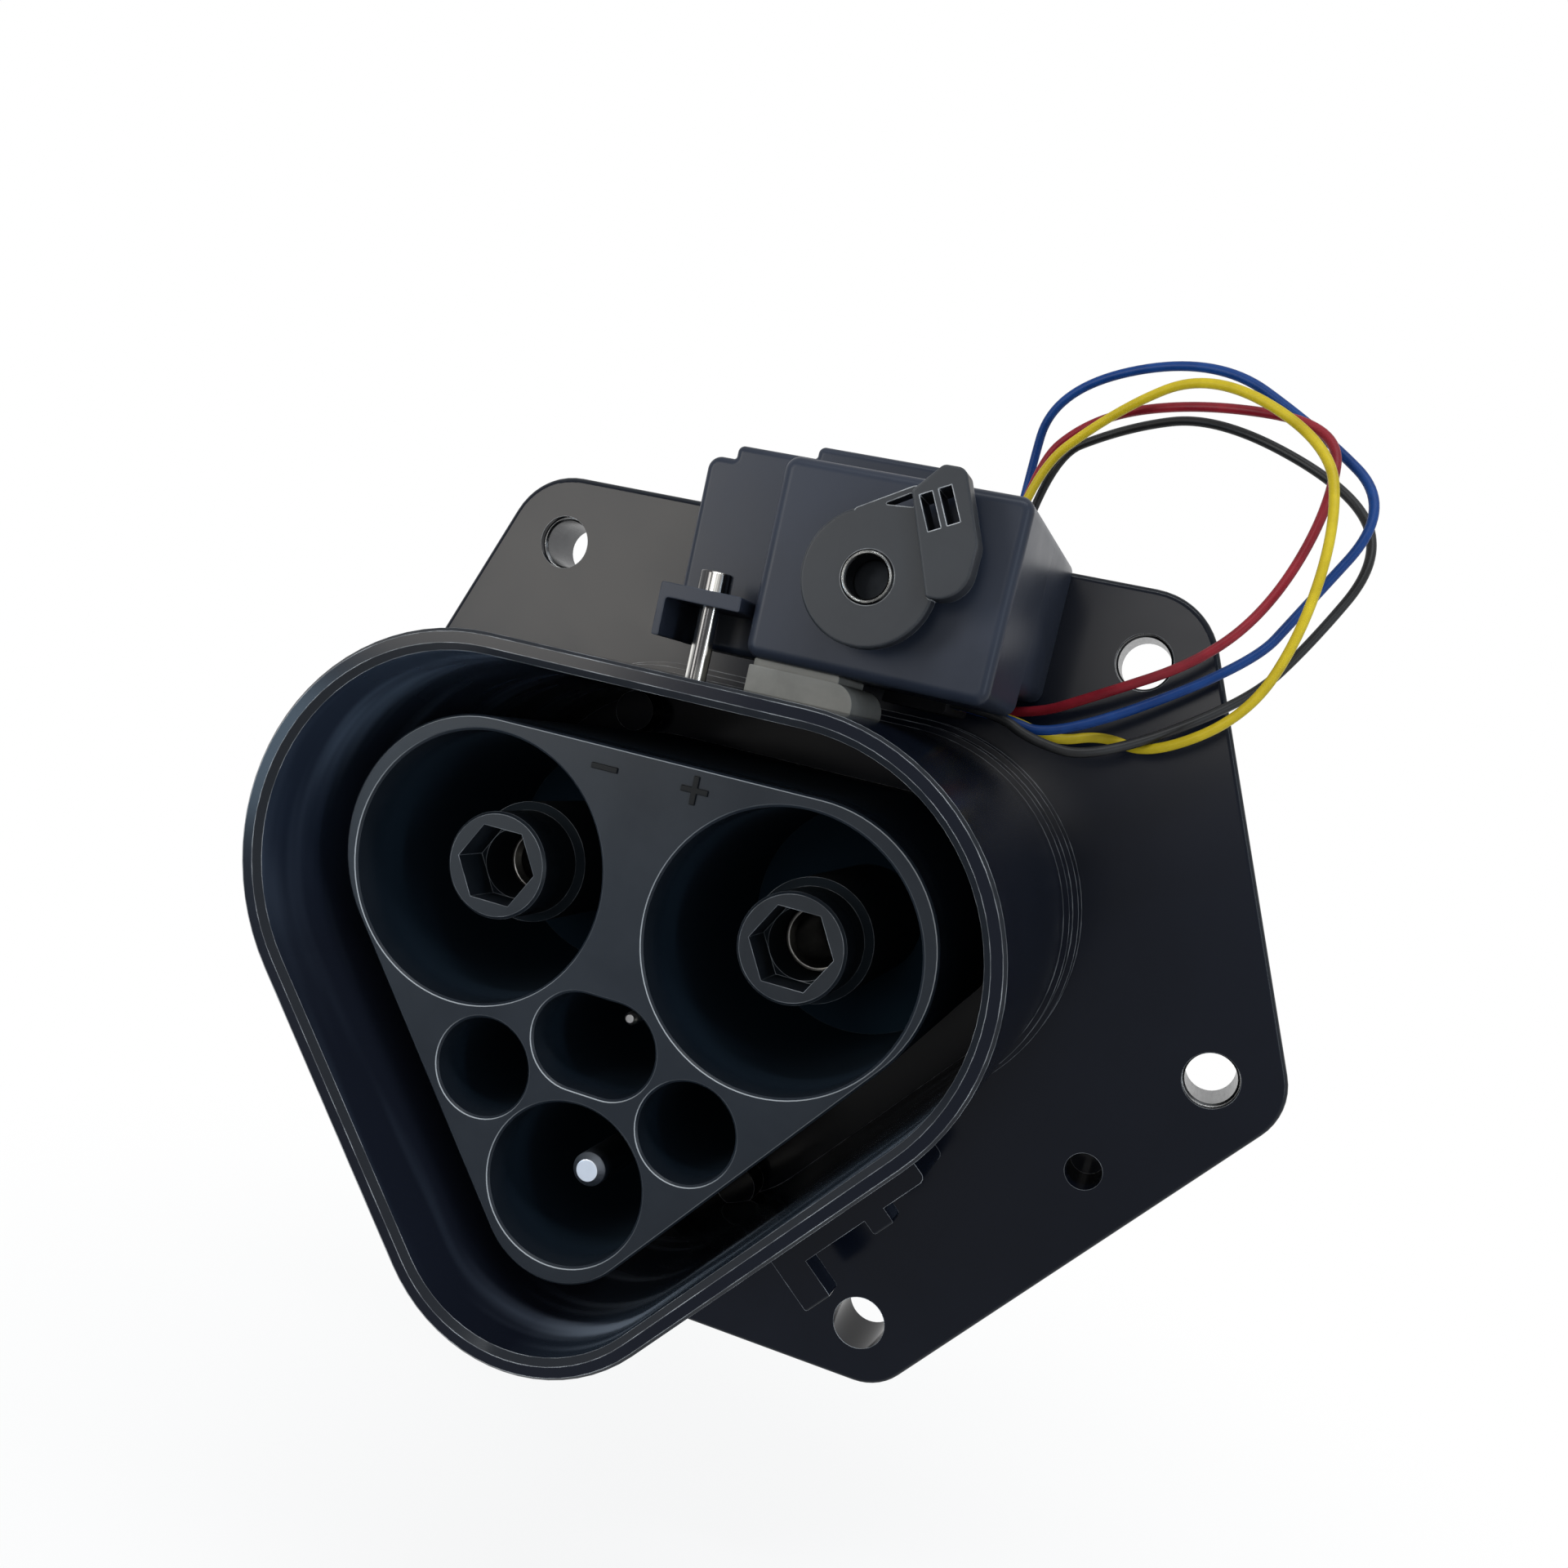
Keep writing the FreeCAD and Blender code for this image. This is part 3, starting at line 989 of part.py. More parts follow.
def make_drive_gearbox():
    """Sealed right-angle gearbox around the shaft, with the round worm end towards the motor."""
    left = SHAFT_X - GEARBOX_LEFT
    right = SHAFT_X + GEARBOX_RIGHT
    bottom = SHAFT_Z - GEARBOX_DROP
    top = SHAFT_Z + GEARBOX_RISE
    outline = [(left, bottom, 2.0), (right, bottom, 1.5), (right, top, 1.5), (left, top, 1.5)]
    box = rounded_prism(outline, GEARBOX_Y, GEARBOX_Y + GEARBOX_LENGTH)
    worm_end = Part.makeCylinder(WORM_HOUSE_D / 2, GEARBOX_LEFT + 1.5, V(left, MOTOR_Y, MOTOR_Z), V(1, 0, 0))
    box = box.fuse(worm_end)
    cuts = [rod(SHAFT_X, SHAFT_Z, SHAFT_D + 2 * SLIP, GEARBOX_Y - 1, GEARBOX_Y + GEARBOX_LENGTH - 1)]
    for x, z in gearbox_screw_places():
        cuts.append(rod(x, z, GEARBOX_SCREW_D + 2 * SLIP, GEARBOX_Y - 1, GEARBOX_Y + GEARBOX_LENGTH + 1))
    return box.cut(cuts[0].multiFuse(cuts[1:]))


def make_drive_motor():
    """Sealed motor can beside the gearbox, with two solder tags behind."""
    right = SHAFT_X - GEARBOX_LEFT
    can = Part.makeCylinder(MOTOR_D / 2, MOTOR_LENGTH, V(right - MOTOR_LENGTH, MOTOR_Y, MOTOR_Z), V(1, 0, 0))
    can = can.makeFillet(0.8, [e for e in can.Edges if e.BoundBox.XMax < right - MOTOR_LENGTH + 1e-6])
    tags = [block_of(right - MOTOR_LENGTH - 1.2, right - MOTOR_LENGTH + 0.5, MOTOR_Y - 0.2, MOTOR_Y + 0.2,
                     MOTOR_Z + z - 0.8, MOTOR_Z + z + 0.8) for z in (-3.0, 3.0)]
    return can.multiFuse(tags)


def make_gearbox_screws():
    return Part.Compound([screw_along_y(x, z, GEARBOX_SCREW_D, GEARBOX_SCREW_HEAD_D, GEARBOX_SCREW_HEAD,
                                        GEARBOX_Y + GEARBOX_LENGTH, GEARBOX_LENGTH + GEARBOX_SCREW_BITE,
                                        FRONTWARDS) for x, z in gearbox_screw_places()])


def make_end_switch():
    """Small switch on the case's front wall, its plunger close to the rack."""
    back = CASE_FRONT_Y + CASE_WALL
    x = RACK_X + 0.6
    front_face = PINION_Y - 1.2
    body = block_of(x - 3.0, x + 3.0, back, front_face, SHAFT_Z - 0.5, SHAFT_Z + 7.5)
    plunger = rod(x, SHAFT_Z + 3.5, 1.4, front_face - 0.5, PINION_Y - 0.3)
    return body.fuse(plunger)


def make_control_board():
    """Board on edge beside the right wall, with a small row of components."""
    right = CASE_RIGHT_X - CASE_WALL - 0.3
    left = right - BOARD_THICK
    front = CASE_FRONT_Y + CASE_WALL + 2
    board = block_of(left, right, front, PLATE_FRONT_Y - BOARD_BACK_GAP,
                     COVER_BOTTOM_Z + CASE_WALL + BOARD_MARGIN, CASE_TOP_Z - CASE_WALL - BOARD_MARGIN)
    chips = []
    for i in range(3):
        y = front + BOARD_THICK + i * CHIP_PITCH
        chip = block_of(left - CHIP_THICK, left, y, y + CHIP_SIZE, SHAFT_Z - 2, SHAFT_Z - 2 + CHIP_SIZE)
        chips.append(chip)
    return board.multiFuse(chips)


def make_wire_grommet():
    """Soft block under the rear cover that the four wires leave to the right."""
    body = block_of(GROMMET_LEFT_X, GROMMET_RIGHT_X, wire_lead(0) - 2.0, wire_lead(3) + 2.0,
                    WIRE_EXIT_Z - 1.6, COVER_BOTTOM_Z)
    return body.makeFillet(0.6, [e for e in body.Edges if e.BoundBox.XMin > GROMMET_RIGHT_X - 1e-6
                                 and e.BoundBox.ZMax < COVER_BOTTOM_Z - 0.1])


def make_harness_plug():
    """Plug body behind the flange that takes the far ends of the wires."""
    left = HARNESS_X - HARNESS_WIDTH / 2
    bottom = HARNESS_TOP_Z - HARNESS_HEIGHT
    body = block_of(left, left + HARNESS_WIDTH, 0.0, wire_end(3) + 2.4, bottom, HARNESS_TOP_Z)
    body = body.makeFillet(0.6, [e for e in body.Edges if e.BoundBox.YMin > 1.0])
    latch = block_of(left - 1.2, left, 3.0, 9.0, bottom + 2.0, HARNESS_TOP_Z - 2.5)
    return body.fuse(latch)


def wire_lead(place):
    """Depth at which a wire leaves the grommet, the front wire being number 0."""
    return PLATE_FRONT_Y - WIRE_FIRST_LEAD + WIRE_PITCH * place


def wire_end(place):
    """Depth at which a wire enters the harness plug."""
    return HARNESS_FIRST_Y + WIRE_PITCH * place


def wire_route(place, straight, bends, drop_z):
    """Route points from the grommet, out to the right, over the top and down into the harness plug."""
    start = V(GROMMET_RIGHT_X, wire_lead(place), WIRE_EXIT_Z)
    top = V(HARNESS_X, wire_end(place), drop_z)
    end = V(HARNESS_X, wire_end(place), HARNESS_TOP_Z)
    return [start, start + V(straight, 0, 0)] + [V(x, y, z) for x, y, z in bends] + [top, end]


def make_wire(name, points):
    """Round wire along straight runs joined by tangent arcs."""
    path = []
    radii = []
    last = points[0]
    for i in range(1, len(points) - 1):
        corner = points[i]
        back = points[i - 1] - corner
        ahead = points[i + 1] - corner
        reach = 0.45 * min(back.Length, ahead.Length)
        half_turn = (math.pi - back.getAngle(ahead)) / 2
        radius = reach / math.tan(half_turn)
        back.normalize()
        ahead.normalize()
        inward = back + ahead
        inward.normalize()
        crown = corner + inward * (radius / math.cos(half_turn) - radius)
        path.append(Part.LineSegment(last, corner + back * reach).toShape())
        path.append(Part.Arc(corner + back * reach, crown, corner + ahead * reach).toShape())
        radii.append(round(radius, 1))
        last = corner + ahead * reach
    path.append(Part.LineSegment(last, points[-1]).toShape())
    spine = Part.Wire(path)
    ring = Part.Wire(Part.makeCircle(WIRE_D / 2, points[0], points[1] - points[0]))
    tube = spine.makePipeShell([ring], True, False)
    print(name, "bend radii", radii, "length", round(spine.Length, 1),
          "volume", round(tube.Volume, 1), "of", round(math.pi * WIRE_D ** 2 / 4 * spine.Length, 1))
    return tube


def wire_routes():
    return {
        "wire_yellow": wire_route(0, 7.1, [
            (44.7, -26.3, 27.6), (55.1, -24.5, 35.2), (59.3, -21.6, 45.1), (60.0, -18.3, 58.5),
            (57.1, -14.2, 68.9), (41.2, -8.8, 76.6), (30.0, -2.9, 71.7)], 61.2),
        "wire_red": wire_route(1, 8.1, [
            (38.4, -22.9, 33.5), (49.3, -20.8, 40.2), (55.5, -17.3, 48.9), (58.9, -13.1, 61.8),
            (57.8, -8.4, 72.5), (40.6, -3.7, 73.9), (26.5, 1.1, 71.2)], 63.2),
        "wire_blue": wire_route(2, 4.1, [
            (34.8, -19.5, 27.7), (54.8, -17.4, 41.1), (58.7, -13.9, 48.7), (66.4, -9.7, 63.6),
            (55.4, -5.0, 72.4), (40.3, -0.3, 81.0), (19.8, 4.5, 75.0)], 62.0),
        "wire_black": wire_route(3, 5.3, [
            (38.3, -16.1, 26.1), (55.5, -14.0, 36.9), (60.9, -10.5, 45.5), (66.7, -6.3, 57.9),
            (61.4, -1.6, 66.7), (42.5, 3.1, 74.2), (30.5, 7.9, 72.1)], 66.2),
    }


def save(name, shape):
    shape.exportStep("parts/" + name + ".step")
    print(name, len(shape.Solids), "solid", round(shape.Volume), "mm3", "valid:", shape.isValid())


os.makedirs("parts", exist_ok=True)
save("housing", make_housing())
save("flange_bushes", make_flange_bushes())
save("contact_block", make_contact_block())
save("contact_carrier", make_contact_carrier())
save("block_gasket", make_block_gasket())
save("contact_retainer", make_contact_retainer())
save("block_screws", make_block_screws())
save("retainer_screws", make_retainer_screws())
for side, place in (("left", -POLE_X), ("right", POLE_X)):
    save("power_post_" + side, make_power_post(place))
    save("power_contact_" + side, make_power_contact(place))
save("earth_contact", make_earth_contact())
save("signal_pins", make_signal_pins())
save("actuator_housing", make_actuator_housing())
save("actuator_cover", make_actuator_cover())
save("cover_screws", make_cover_screws())
save("actuator_screws", make_actuator_screws())
save("ear_screw", make_ear_screw())
save("release_lever", make_release_lever())
save("lever_bush", make_lever_bush())
save("shaft_bearing", make_shaft_bearing())
save("output_shaft", make_output_shaft())
save("lock_pin", make_lock_pin())
save("lock_seal", make_lock_seal())
save("drive_gearbox", make_drive_gearbox())
save("drive_motor", make_drive_motor())
save("gearbox_screws", make_gearbox_screws())
save("end_switch", make_end_switch())
save("control_board", make_control_board())
save("wire_grommet", make_wire_grommet())
save("harness_plug", make_harness_plug())
for name, points in wire_routes().items():
    save(name, make_wire(name, points))
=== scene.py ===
import math
import bpy
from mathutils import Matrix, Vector


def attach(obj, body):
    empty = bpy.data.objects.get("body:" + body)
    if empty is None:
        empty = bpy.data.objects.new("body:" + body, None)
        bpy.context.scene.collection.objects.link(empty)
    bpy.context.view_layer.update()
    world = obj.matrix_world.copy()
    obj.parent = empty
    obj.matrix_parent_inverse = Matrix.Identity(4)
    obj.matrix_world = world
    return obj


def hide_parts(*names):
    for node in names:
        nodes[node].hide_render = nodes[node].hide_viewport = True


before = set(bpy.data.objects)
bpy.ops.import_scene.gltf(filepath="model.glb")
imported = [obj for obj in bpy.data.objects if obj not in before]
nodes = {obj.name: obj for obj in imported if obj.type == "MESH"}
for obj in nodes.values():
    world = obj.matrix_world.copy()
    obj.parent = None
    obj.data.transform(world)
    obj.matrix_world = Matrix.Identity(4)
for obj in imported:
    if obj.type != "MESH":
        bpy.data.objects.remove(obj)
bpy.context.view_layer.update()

print("socket loaded,", len(nodes), "solid pieces")


# camera at the photograph's viewing angle

cameraSettings = {
    "place": (0.053415, -0.191692, 0.025461),
    "turn": (82.0904, -12.8043, 17.2667),
    "lens": 31.2236,
    "sensor": 36,
    "shiftX": -0.0059,
    "shiftY": 0.0638,
    "nearest": 0.005,
}

bpy.ops.object.camera_add(location=cameraSettings["place"],
                          rotation=[math.radians(angle) for angle in cameraSettings["turn"]])
photoCamera = bpy.context.object
photoCamera.name = "photoCamera"
photoCamera.data.lens = cameraSettings["lens"]
photoCamera.data.sensor_width = cameraSettings["sensor"]
photoCamera.data.shift_x = cameraSettings["shiftX"]
photoCamera.data.shift_y = cameraSettings["shiftY"]
photoCamera.data.clip_start = cameraSettings["nearest"]
bpy.context.scene.camera = photoCamera
bpy.context.scene.view_settings.view_transform = "Standard"


# small helpers for nodes

def addNode(tree, kind, **values):
    node = tree.nodes.new(kind)
    for key, value in values.items():
        setattr(node, key, value)
    return node


def feed(tree, value, socket):
    # another node's output is linked, a plain number or colour is set
    if isinstance(value, bpy.types.NodeSocket):
        tree.links.new(value, socket)
    elif socket.type == "RGBA":
        socket.default_value = (*value, 1)
    else:
        socket.default_value = value


def setInputs(tree, node, **values):
    for key, value in values.items():
        feed(tree, value, node.inputs[key.replace("_", " ")])
    return node


def startMaterial(name):
    material = bpy.data.materials.new(name)
    material.use_nodes = True
    tree = material.node_tree
    shader = tree.nodes["Principled BSDF"]
    return material, tree, shader


def startGroup(name, takes, gives):
    group = bpy.data.node_groups.new(name, "ShaderNodeTree")
    sockets = group.interface
    for label, value in takes.items():
        kind = "NodeSocketVector" if isinstance(value, tuple) else "NodeSocketFloat"
        sockets.new_socket(label, in_out="INPUT", socket_type=kind).default_value = value
    for label in gives:
        kind = "NodeSocketVector" if label == "Normal" else "NodeSocketFloat"
        sockets.new_socket(label, in_out="OUTPUT", socket_type=kind)
    return group, addNode(group, "NodeGroupInput"), addNode(group, "NodeGroupOutput")


def placeGroup(tree, group, **values):
    return setInputs(tree, addNode(tree, "ShaderNodeGroup", node_tree=group), **values)


def calculate(tree, operation, first, second, capped=False):
    step = addNode(tree, "ShaderNodeMath", operation=operation, use_clamp=capped)
    feed(tree, first, step.inputs[0])
    feed(tree, second, step.inputs[1])
    return step.outputs[0]


def dotProduct(tree, first, second):
    dot = addNode(tree, "ShaderNodeVectorMath", operation="DOT_PRODUCT")
    feed(tree, first, dot.inputs[0])
    feed(tree, second, dot.inputs[1])
    return dot.outputs["Value"]


def splitAxes(tree, vector):
    split = addNode(tree, "ShaderNodeSeparateXYZ")
    tree.links.new(vector, split.inputs[0])
    return split.outputs


def remap(tree, source, limits=(0.0, 1.0), ends=(0.0, 1.0), curve="LINEAR"):
    span = addNode(tree, "ShaderNodeMapRange", interpolation_type=curve)
    setInputs(tree, span, Value=source, From_Min=limits[0], From_Max=limits[1])
    setInputs(tree, span, To_Min=ends[0], To_Max=ends[1])
    return span.outputs[0]


def addNoise(tree, place, size, detail=2.0, roughness=0.5, distortion=0.0):
    noise = addNode(tree, "ShaderNodeTexNoise")
    setInputs(tree, noise, Vector=place, Scale=size)
    setInputs(tree, noise, Detail=detail, Roughness=roughness, Distortion=distortion)
    return noise.outputs["Fac"]


def stretch(tree, place, scale):
    drawn = addNode(tree, "ShaderNodeMapping")
    setInputs(tree, drawn, Vector=place, Scale=scale)
    return drawn.outputs[0]


def blendColour(tree, mask, first, second):
    mix = addNode(tree, "ShaderNodeMix", data_type="RGBA")
    feed(tree, mask, mix.inputs[0])
    feed(tree, first, mix.inputs[6])
    feed(tree, second, mix.inputs[7])
    return mix.outputs[2]


def ringOfColours(tree, turn, stops):
    ring = addNode(tree, "ShaderNodeValToRGB")
    points = ring.color_ramp.elements
    points[0].color = (*stops[0][1], 1)
    points[1].color = (*stops[-1][1], 1)
    for place, colour in stops[1:-1]:
        points.new(place).color = (*colour, 1)
    tree.links.new(turn, ring.inputs[0])
    return ring.outputs[0]


# shared effect: fine grain and soft clouds of the moulded skin

skinSettings = {
    "cloud": {"detail": 4.0, "roughness": 0.6, "distortion": 0.4},
    "cloudLimits": (0.35, 0.65),
    "grain": {"detail": 2.0, "roughness": 0.5},
}


def makeMouldSkin():
    group, start, end = startGroup("mouldSkin", {"Grain Size": 3000, "Cloud Size": 60}, ["Cloud", "Grain"])
    place = addNode(group, "ShaderNodeTexCoord").outputs["Object"]
    cloud = addNoise(group, place, start.outputs["Cloud Size"], **skinSettings["cloud"])
    grain = addNoise(group, place, start.outputs["Grain Size"], **skinSettings["grain"])
    group.links.new(remap(group, cloud, skinSettings["cloudLimits"]), end.inputs["Cloud"])
    group.links.new(grain, end.inputs["Grain"])
    return group


# shared effect: a mask from 0 at the bright level to 1 at the dark one, measured along the direction

def makeDepthShade():
    group, start, end = startGroup("depthShade", {"Bright Level": -0.061, "Dark Level": -0.054,
                                                  "Direction": (0, 1, 0)}, ["Shade"])
    place = addNode(group, "ShaderNodeTexCoord").outputs["Object"]
    along = dotProduct(group, place, start.outputs["Direction"])
    levels = (start.outputs["Bright Level"], start.outputs["Dark Level"])
    group.links.new(remap(group, along, levels, curve="SMOOTHSTEP"), end.inputs["Shade"])
    return group


# shared effect: a painted highlight along the chamfers at the front, strongest where they face the upper
# right, where the light comes from

chamferSettings = {
    "brightSide": (0.62, 0.0, 0.78),
    "brightLimits": (-0.25, 0.50),
    "steepLimits": (-0.97, -0.88),
    "shallowLimits": (-0.35, -0.50),
}


def makeChamferLine():
    group, start, end = startGroup("chamferLine", {"Front Level": -0.0618, "Faintest": 0.2}, ["Line"])
    place = addNode(group, "ShaderNodeTexCoord")
    slope = splitAxes(group, place.outputs["Normal"])["Y"]
    steep = remap(group, slope, chamferSettings["steepLimits"])
    shallow = remap(group, slope, chamferSettings["shallowLimits"])
    sloped = calculate(group, "MULTIPLY", steep, shallow, capped=True)
    depth = splitAxes(group, place.outputs["Object"])["Y"]
    front = calculate(group, "LESS_THAN", depth, start.outputs["Front Level"])
    side = dotProduct(group, place.outputs["Normal"], chamferSettings["brightSide"])
    weight = remap(group, side, chamferSettings["brightLimits"], (start.outputs["Faintest"], 1.0))
    kept = calculate(group, "MULTIPLY", front, weight)
    group.links.new(calculate(group, "MULTIPLY", sloped, kept, capped=True), end.inputs["Line"])
    return group


# shared effect: where the shroud's lining is, its painted sheen streaks, and the way its wall faces, as a
# turn from 0 to 1 that picks its painted light and shade

liningSettings = {
    "inwardLimits": (-0.004, -0.010),
    "streakStretch": (22, 170, 22),
    "streakLimits": (0.46, 0.72),
}


def makeInnerWall():
    group, start, end = startGroup("innerWall", {"Floor Level": -0.016}, ["Inside", "Streak", "Turn"])
    place = addNode(group, "ShaderNodeTexCoord")
    outward = addNode(group, "ShaderNodeVectorMath", operation="MULTIPLY")
    feed(group, place.outputs["Object"], outward.inputs[0])
    feed(group, (1, 0, 1), outward.inputs[1])
    facing = dotProduct(group, outward.outputs[0], place.outputs["Normal"])
    inward = remap(group, facing, liningSettings["inwardLimits"])
    depth = splitAxes(group, place.outputs["Object"])["Y"]
    front = calculate(group, "LESS_THAN", depth, start.outputs["Floor Level"])
    group.links.new(calculate(group, "MULTIPLY", inward, front), end.inputs["Inside"])
    # painted sheen: soft reflection streaks stretched around the lining
    drawn = stretch(group, place.outputs["Object"], liningSettings["streakStretch"])
    streak = remap(group, addNoise(group, drawn, 1.0), liningSettings["streakLimits"], curve="SMOOTHSTEP")
    group.links.new(streak, end.inputs["Streak"])
    sides = splitAxes(group, place.outputs["Normal"])
    bearing = calculate(group, "ARCTAN2", sides["Z"], sides["X"])
    group.links.new(remap(group, bearing, (-math.pi, math.pi)), end.inputs["Turn"])
    return group


# shared effect: painted highlights on the edges, found where a rounded normal leans away from the true one
# and broken up in patches

edgeSettings = {
    "samples": 6,
    "leanLimits": (0.99, 0.92),
    "breakupDetail": 3.0,
    "breakupLimits": (0.40, 0.62),
    "leastWear": 0.30,
}


def makeRubbedEdges():
    group, start, end = startGroup("rubbedEdges", {"Width": 0.0003, "Breakup": 300}, ["Edge", "Normal"])
    place = addNode(group, "ShaderNodeTexCoord").outputs["Object"]
    trueNormal = addNode(group, "ShaderNodeNewGeometry").outputs["Normal"]
    rounded = addNode(group, "ShaderNodeBevel", samples=edgeSettings["samples"])
    group.links.new(start.outputs["Width"], rounded.inputs["Radius"])
    lean = remap(group, dotProduct(group, rounded.outputs[0], trueNormal), edgeSettings["leanLimits"])
    broken = addNoise(group, place, start.outputs["Breakup"], detail=edgeSettings["breakupDetail"])
    patch = remap(group, broken, edgeSettings["breakupLimits"], (edgeSettings["leastWear"], 1.0))
    group.links.new(calculate(group, "MULTIPLY", lean, patch, capped=True), end.inputs["Edge"])
    group.links.new(rounded.outputs[0], end.inputs["Normal"])
    return group


mouldSkin = makeMouldSkin()
depthShade = makeDepthShade()
chamferLine = makeChamferLine()
innerWall = makeInnerWall()
rubbedEdges = makeRubbedEdges()
print("shared effects ready")


# finishes

reliefDepth = 0.00002    # metres, at a relief of 1
recessDullness = 0.8     # least roughness where a plastic is darkened by depth

metalSettings = {
    "lines": {"detail": 3.0, "roughness": 0.6},
    "stain": {"detail": 4.0, "roughness": 0.6},
}

sheathSettings = {
    "streakSize": 180.0,
    "streak": {"detail": 5.0, "roughness": 0.65},
    "streakLimits": (0.36, 0.68),
    "grainSize": 5200.0,
    "gloss": (0.32, 0.5),
    "relief": 0.25,
}


def addRelief(tree, shader, height, relief, softened=None):
    bump = addNode(tree, "ShaderNodeBump")
    setInputs(tree, bump, Height=height, Strength=relief, Distance=reliefDepth)
    if softened:
        tree.links.new(softened, bump.inputs["Normal"])
    tree.links.new(bump.outputs[0], shader.inputs["Normal"])


def shadeByDepth(tree, levels, direction=(0, 1, 0)):
    shade = placeGroup(tree, depthShade, Bright_Level=levels[0], Dark_Level=levels[1], Direction=direction)
    return shade.outputs["Shade"]


def mouldedPlastic(name, look):
    material, tree, shader = startMaterial(name)
    skin = placeGroup(tree, mouldSkin, Grain_Size=look["grain"], Cloud_Size=look["cloud"])
    edges = placeGroup(tree, rubbedEdges, Width=look["edgeWidth"])
    body = blendColour(tree, skin.outputs["Cloud"], look["dark"], look["light"])
    gloss = remap(tree, skin.outputs["Cloud"], ends=look["gloss"])
    # painted shade: deeper in the recesses the colour darkens and the surface dulls
    if "deep" in look:
        shade = shadeByDepth(tree, look["levels"])
        body = blendColour(tree, shade, body, look["deep"])
        gloss = calculate(tree, "MAXIMUM", gloss, remap(tree, shade, ends=(0.0, recessDullness)))
    # painted light: the floors of the recesses are lifted to a pale blue
    if "bottom" in look:
        body = blendColour(tree, shadeByDepth(tree, look["bottomLevels"]), body, look["bottom"])
    # painted light and shade on the shroud's lining, picked by which way its wall faces, with painted sheen
    # streaks
    if "inside" in look:
        wall = placeGroup(tree, innerWall, Floor_Level=look["floor"])
        plain = ringOfColours(tree, wall.outputs["Turn"], look["inside"])
        streaky = ringOfColours(tree, wall.outputs["Turn"], look["insideStreak"])
        lining = blendColour(tree, wall.outputs["Streak"], plain, streaky)
        body = blendColour(tree, wall.outputs["Inside"], body, lining)
    # painted highlight along the chamfers at the front
    if "chamfer" in look:
        line = placeGroup(tree, chamferLine, Front_Level=look["front"], Faintest=look["faintest"])
        body = blendColour(tree, line.outputs["Line"], body, look["chamfer"])
    # painted highlight on the edges, fainter further back where a faint strength is given
    wear = look["edge"]
    if "faintEdges" in look:
        far = shadeByDepth(tree, look["faintLevels"], look["faintDirection"])
        wear = remap(tree, far, ends=(look["edge"], look["faintEdges"]))
    worn = calculate(tree, "MULTIPLY", edges.outputs["Edge"], wear)
    colour = blendColour(tree, worn, body, look["edgeColour"])
    setInputs(tree, shader, Base_Color=colour, Roughness=gloss, Specular_IOR_Level=look["shine"])
    # the shroud's solid has rolled edges already, so its normals stay as they are
    softened = None if "rolledEdges" in look else edges.outputs["Normal"]
    addRelief(tree, shader, skin.outputs["Grain"], look["relief"], softened)
    return material


def platedMetal(name, look):
    material, tree, shader = startMaterial(name)
    place = addNode(tree, "ShaderNodeTexCoord").outputs["Object"]
    lines = addNoise(tree, stretch(tree, place, look["stretch"]), look["lines"], **metalSettings["lines"])
    edges = placeGroup(tree, rubbedEdges, Width=look["edgeWidth"])
    # painted reflection: pale and dark streaks drawn along the chrome screw
    if "streaks" in look:
        mask = remap(tree, lines, look["streaks"])
    else:
        mask = addNoise(tree, place, look["stain"], **metalSettings["stain"])
    body = blendColour(tree, mask, look["dark"], look["light"])
    # painted shade on the pin's shank behind its bright tip
    if "shank" in look:
        body = blendColour(tree, shadeByDepth(tree, look["levels"]), body, look["shank"])
    # painted highlight on the metal's edges
    colour = blendColour(tree, edges.outputs["Edge"], body, look["edgeColour"])
    gloss = remap(tree, lines, ends=look["gloss"])
    setInputs(tree, shader, Base_Color=colour, Roughness=gloss, Metallic=1.0)
    addRelief(tree, shader, lines, look["relief"], edges.outputs["Normal"])
    return material


def wireSheath(name, look):
    material, tree, shader = startMaterial(name)
    place = addNode(tree, "ShaderNodeTexCoord").outputs["Object"]
    streak = addNoise(tree, place, sheathSettings["streakSize"], **sheathSettings["streak"])
    grain = addNoise(tree, place, sheathSettings["grainSize"])
    mask = remap(tree, streak, sheathSettings["streakLimits"])
    colour = blendColour(tree, mask, look["dark"], look["light"])
    gloss = remap(tree, streak, ends=sheathSettings["gloss"])
    setInputs(tree, shader, Base_Color=colour, Roughness=gloss, Specular_IOR_Level=look["shine"])
    addRelief(tree, shader, grain, sheathSettings["relief"])
    return material
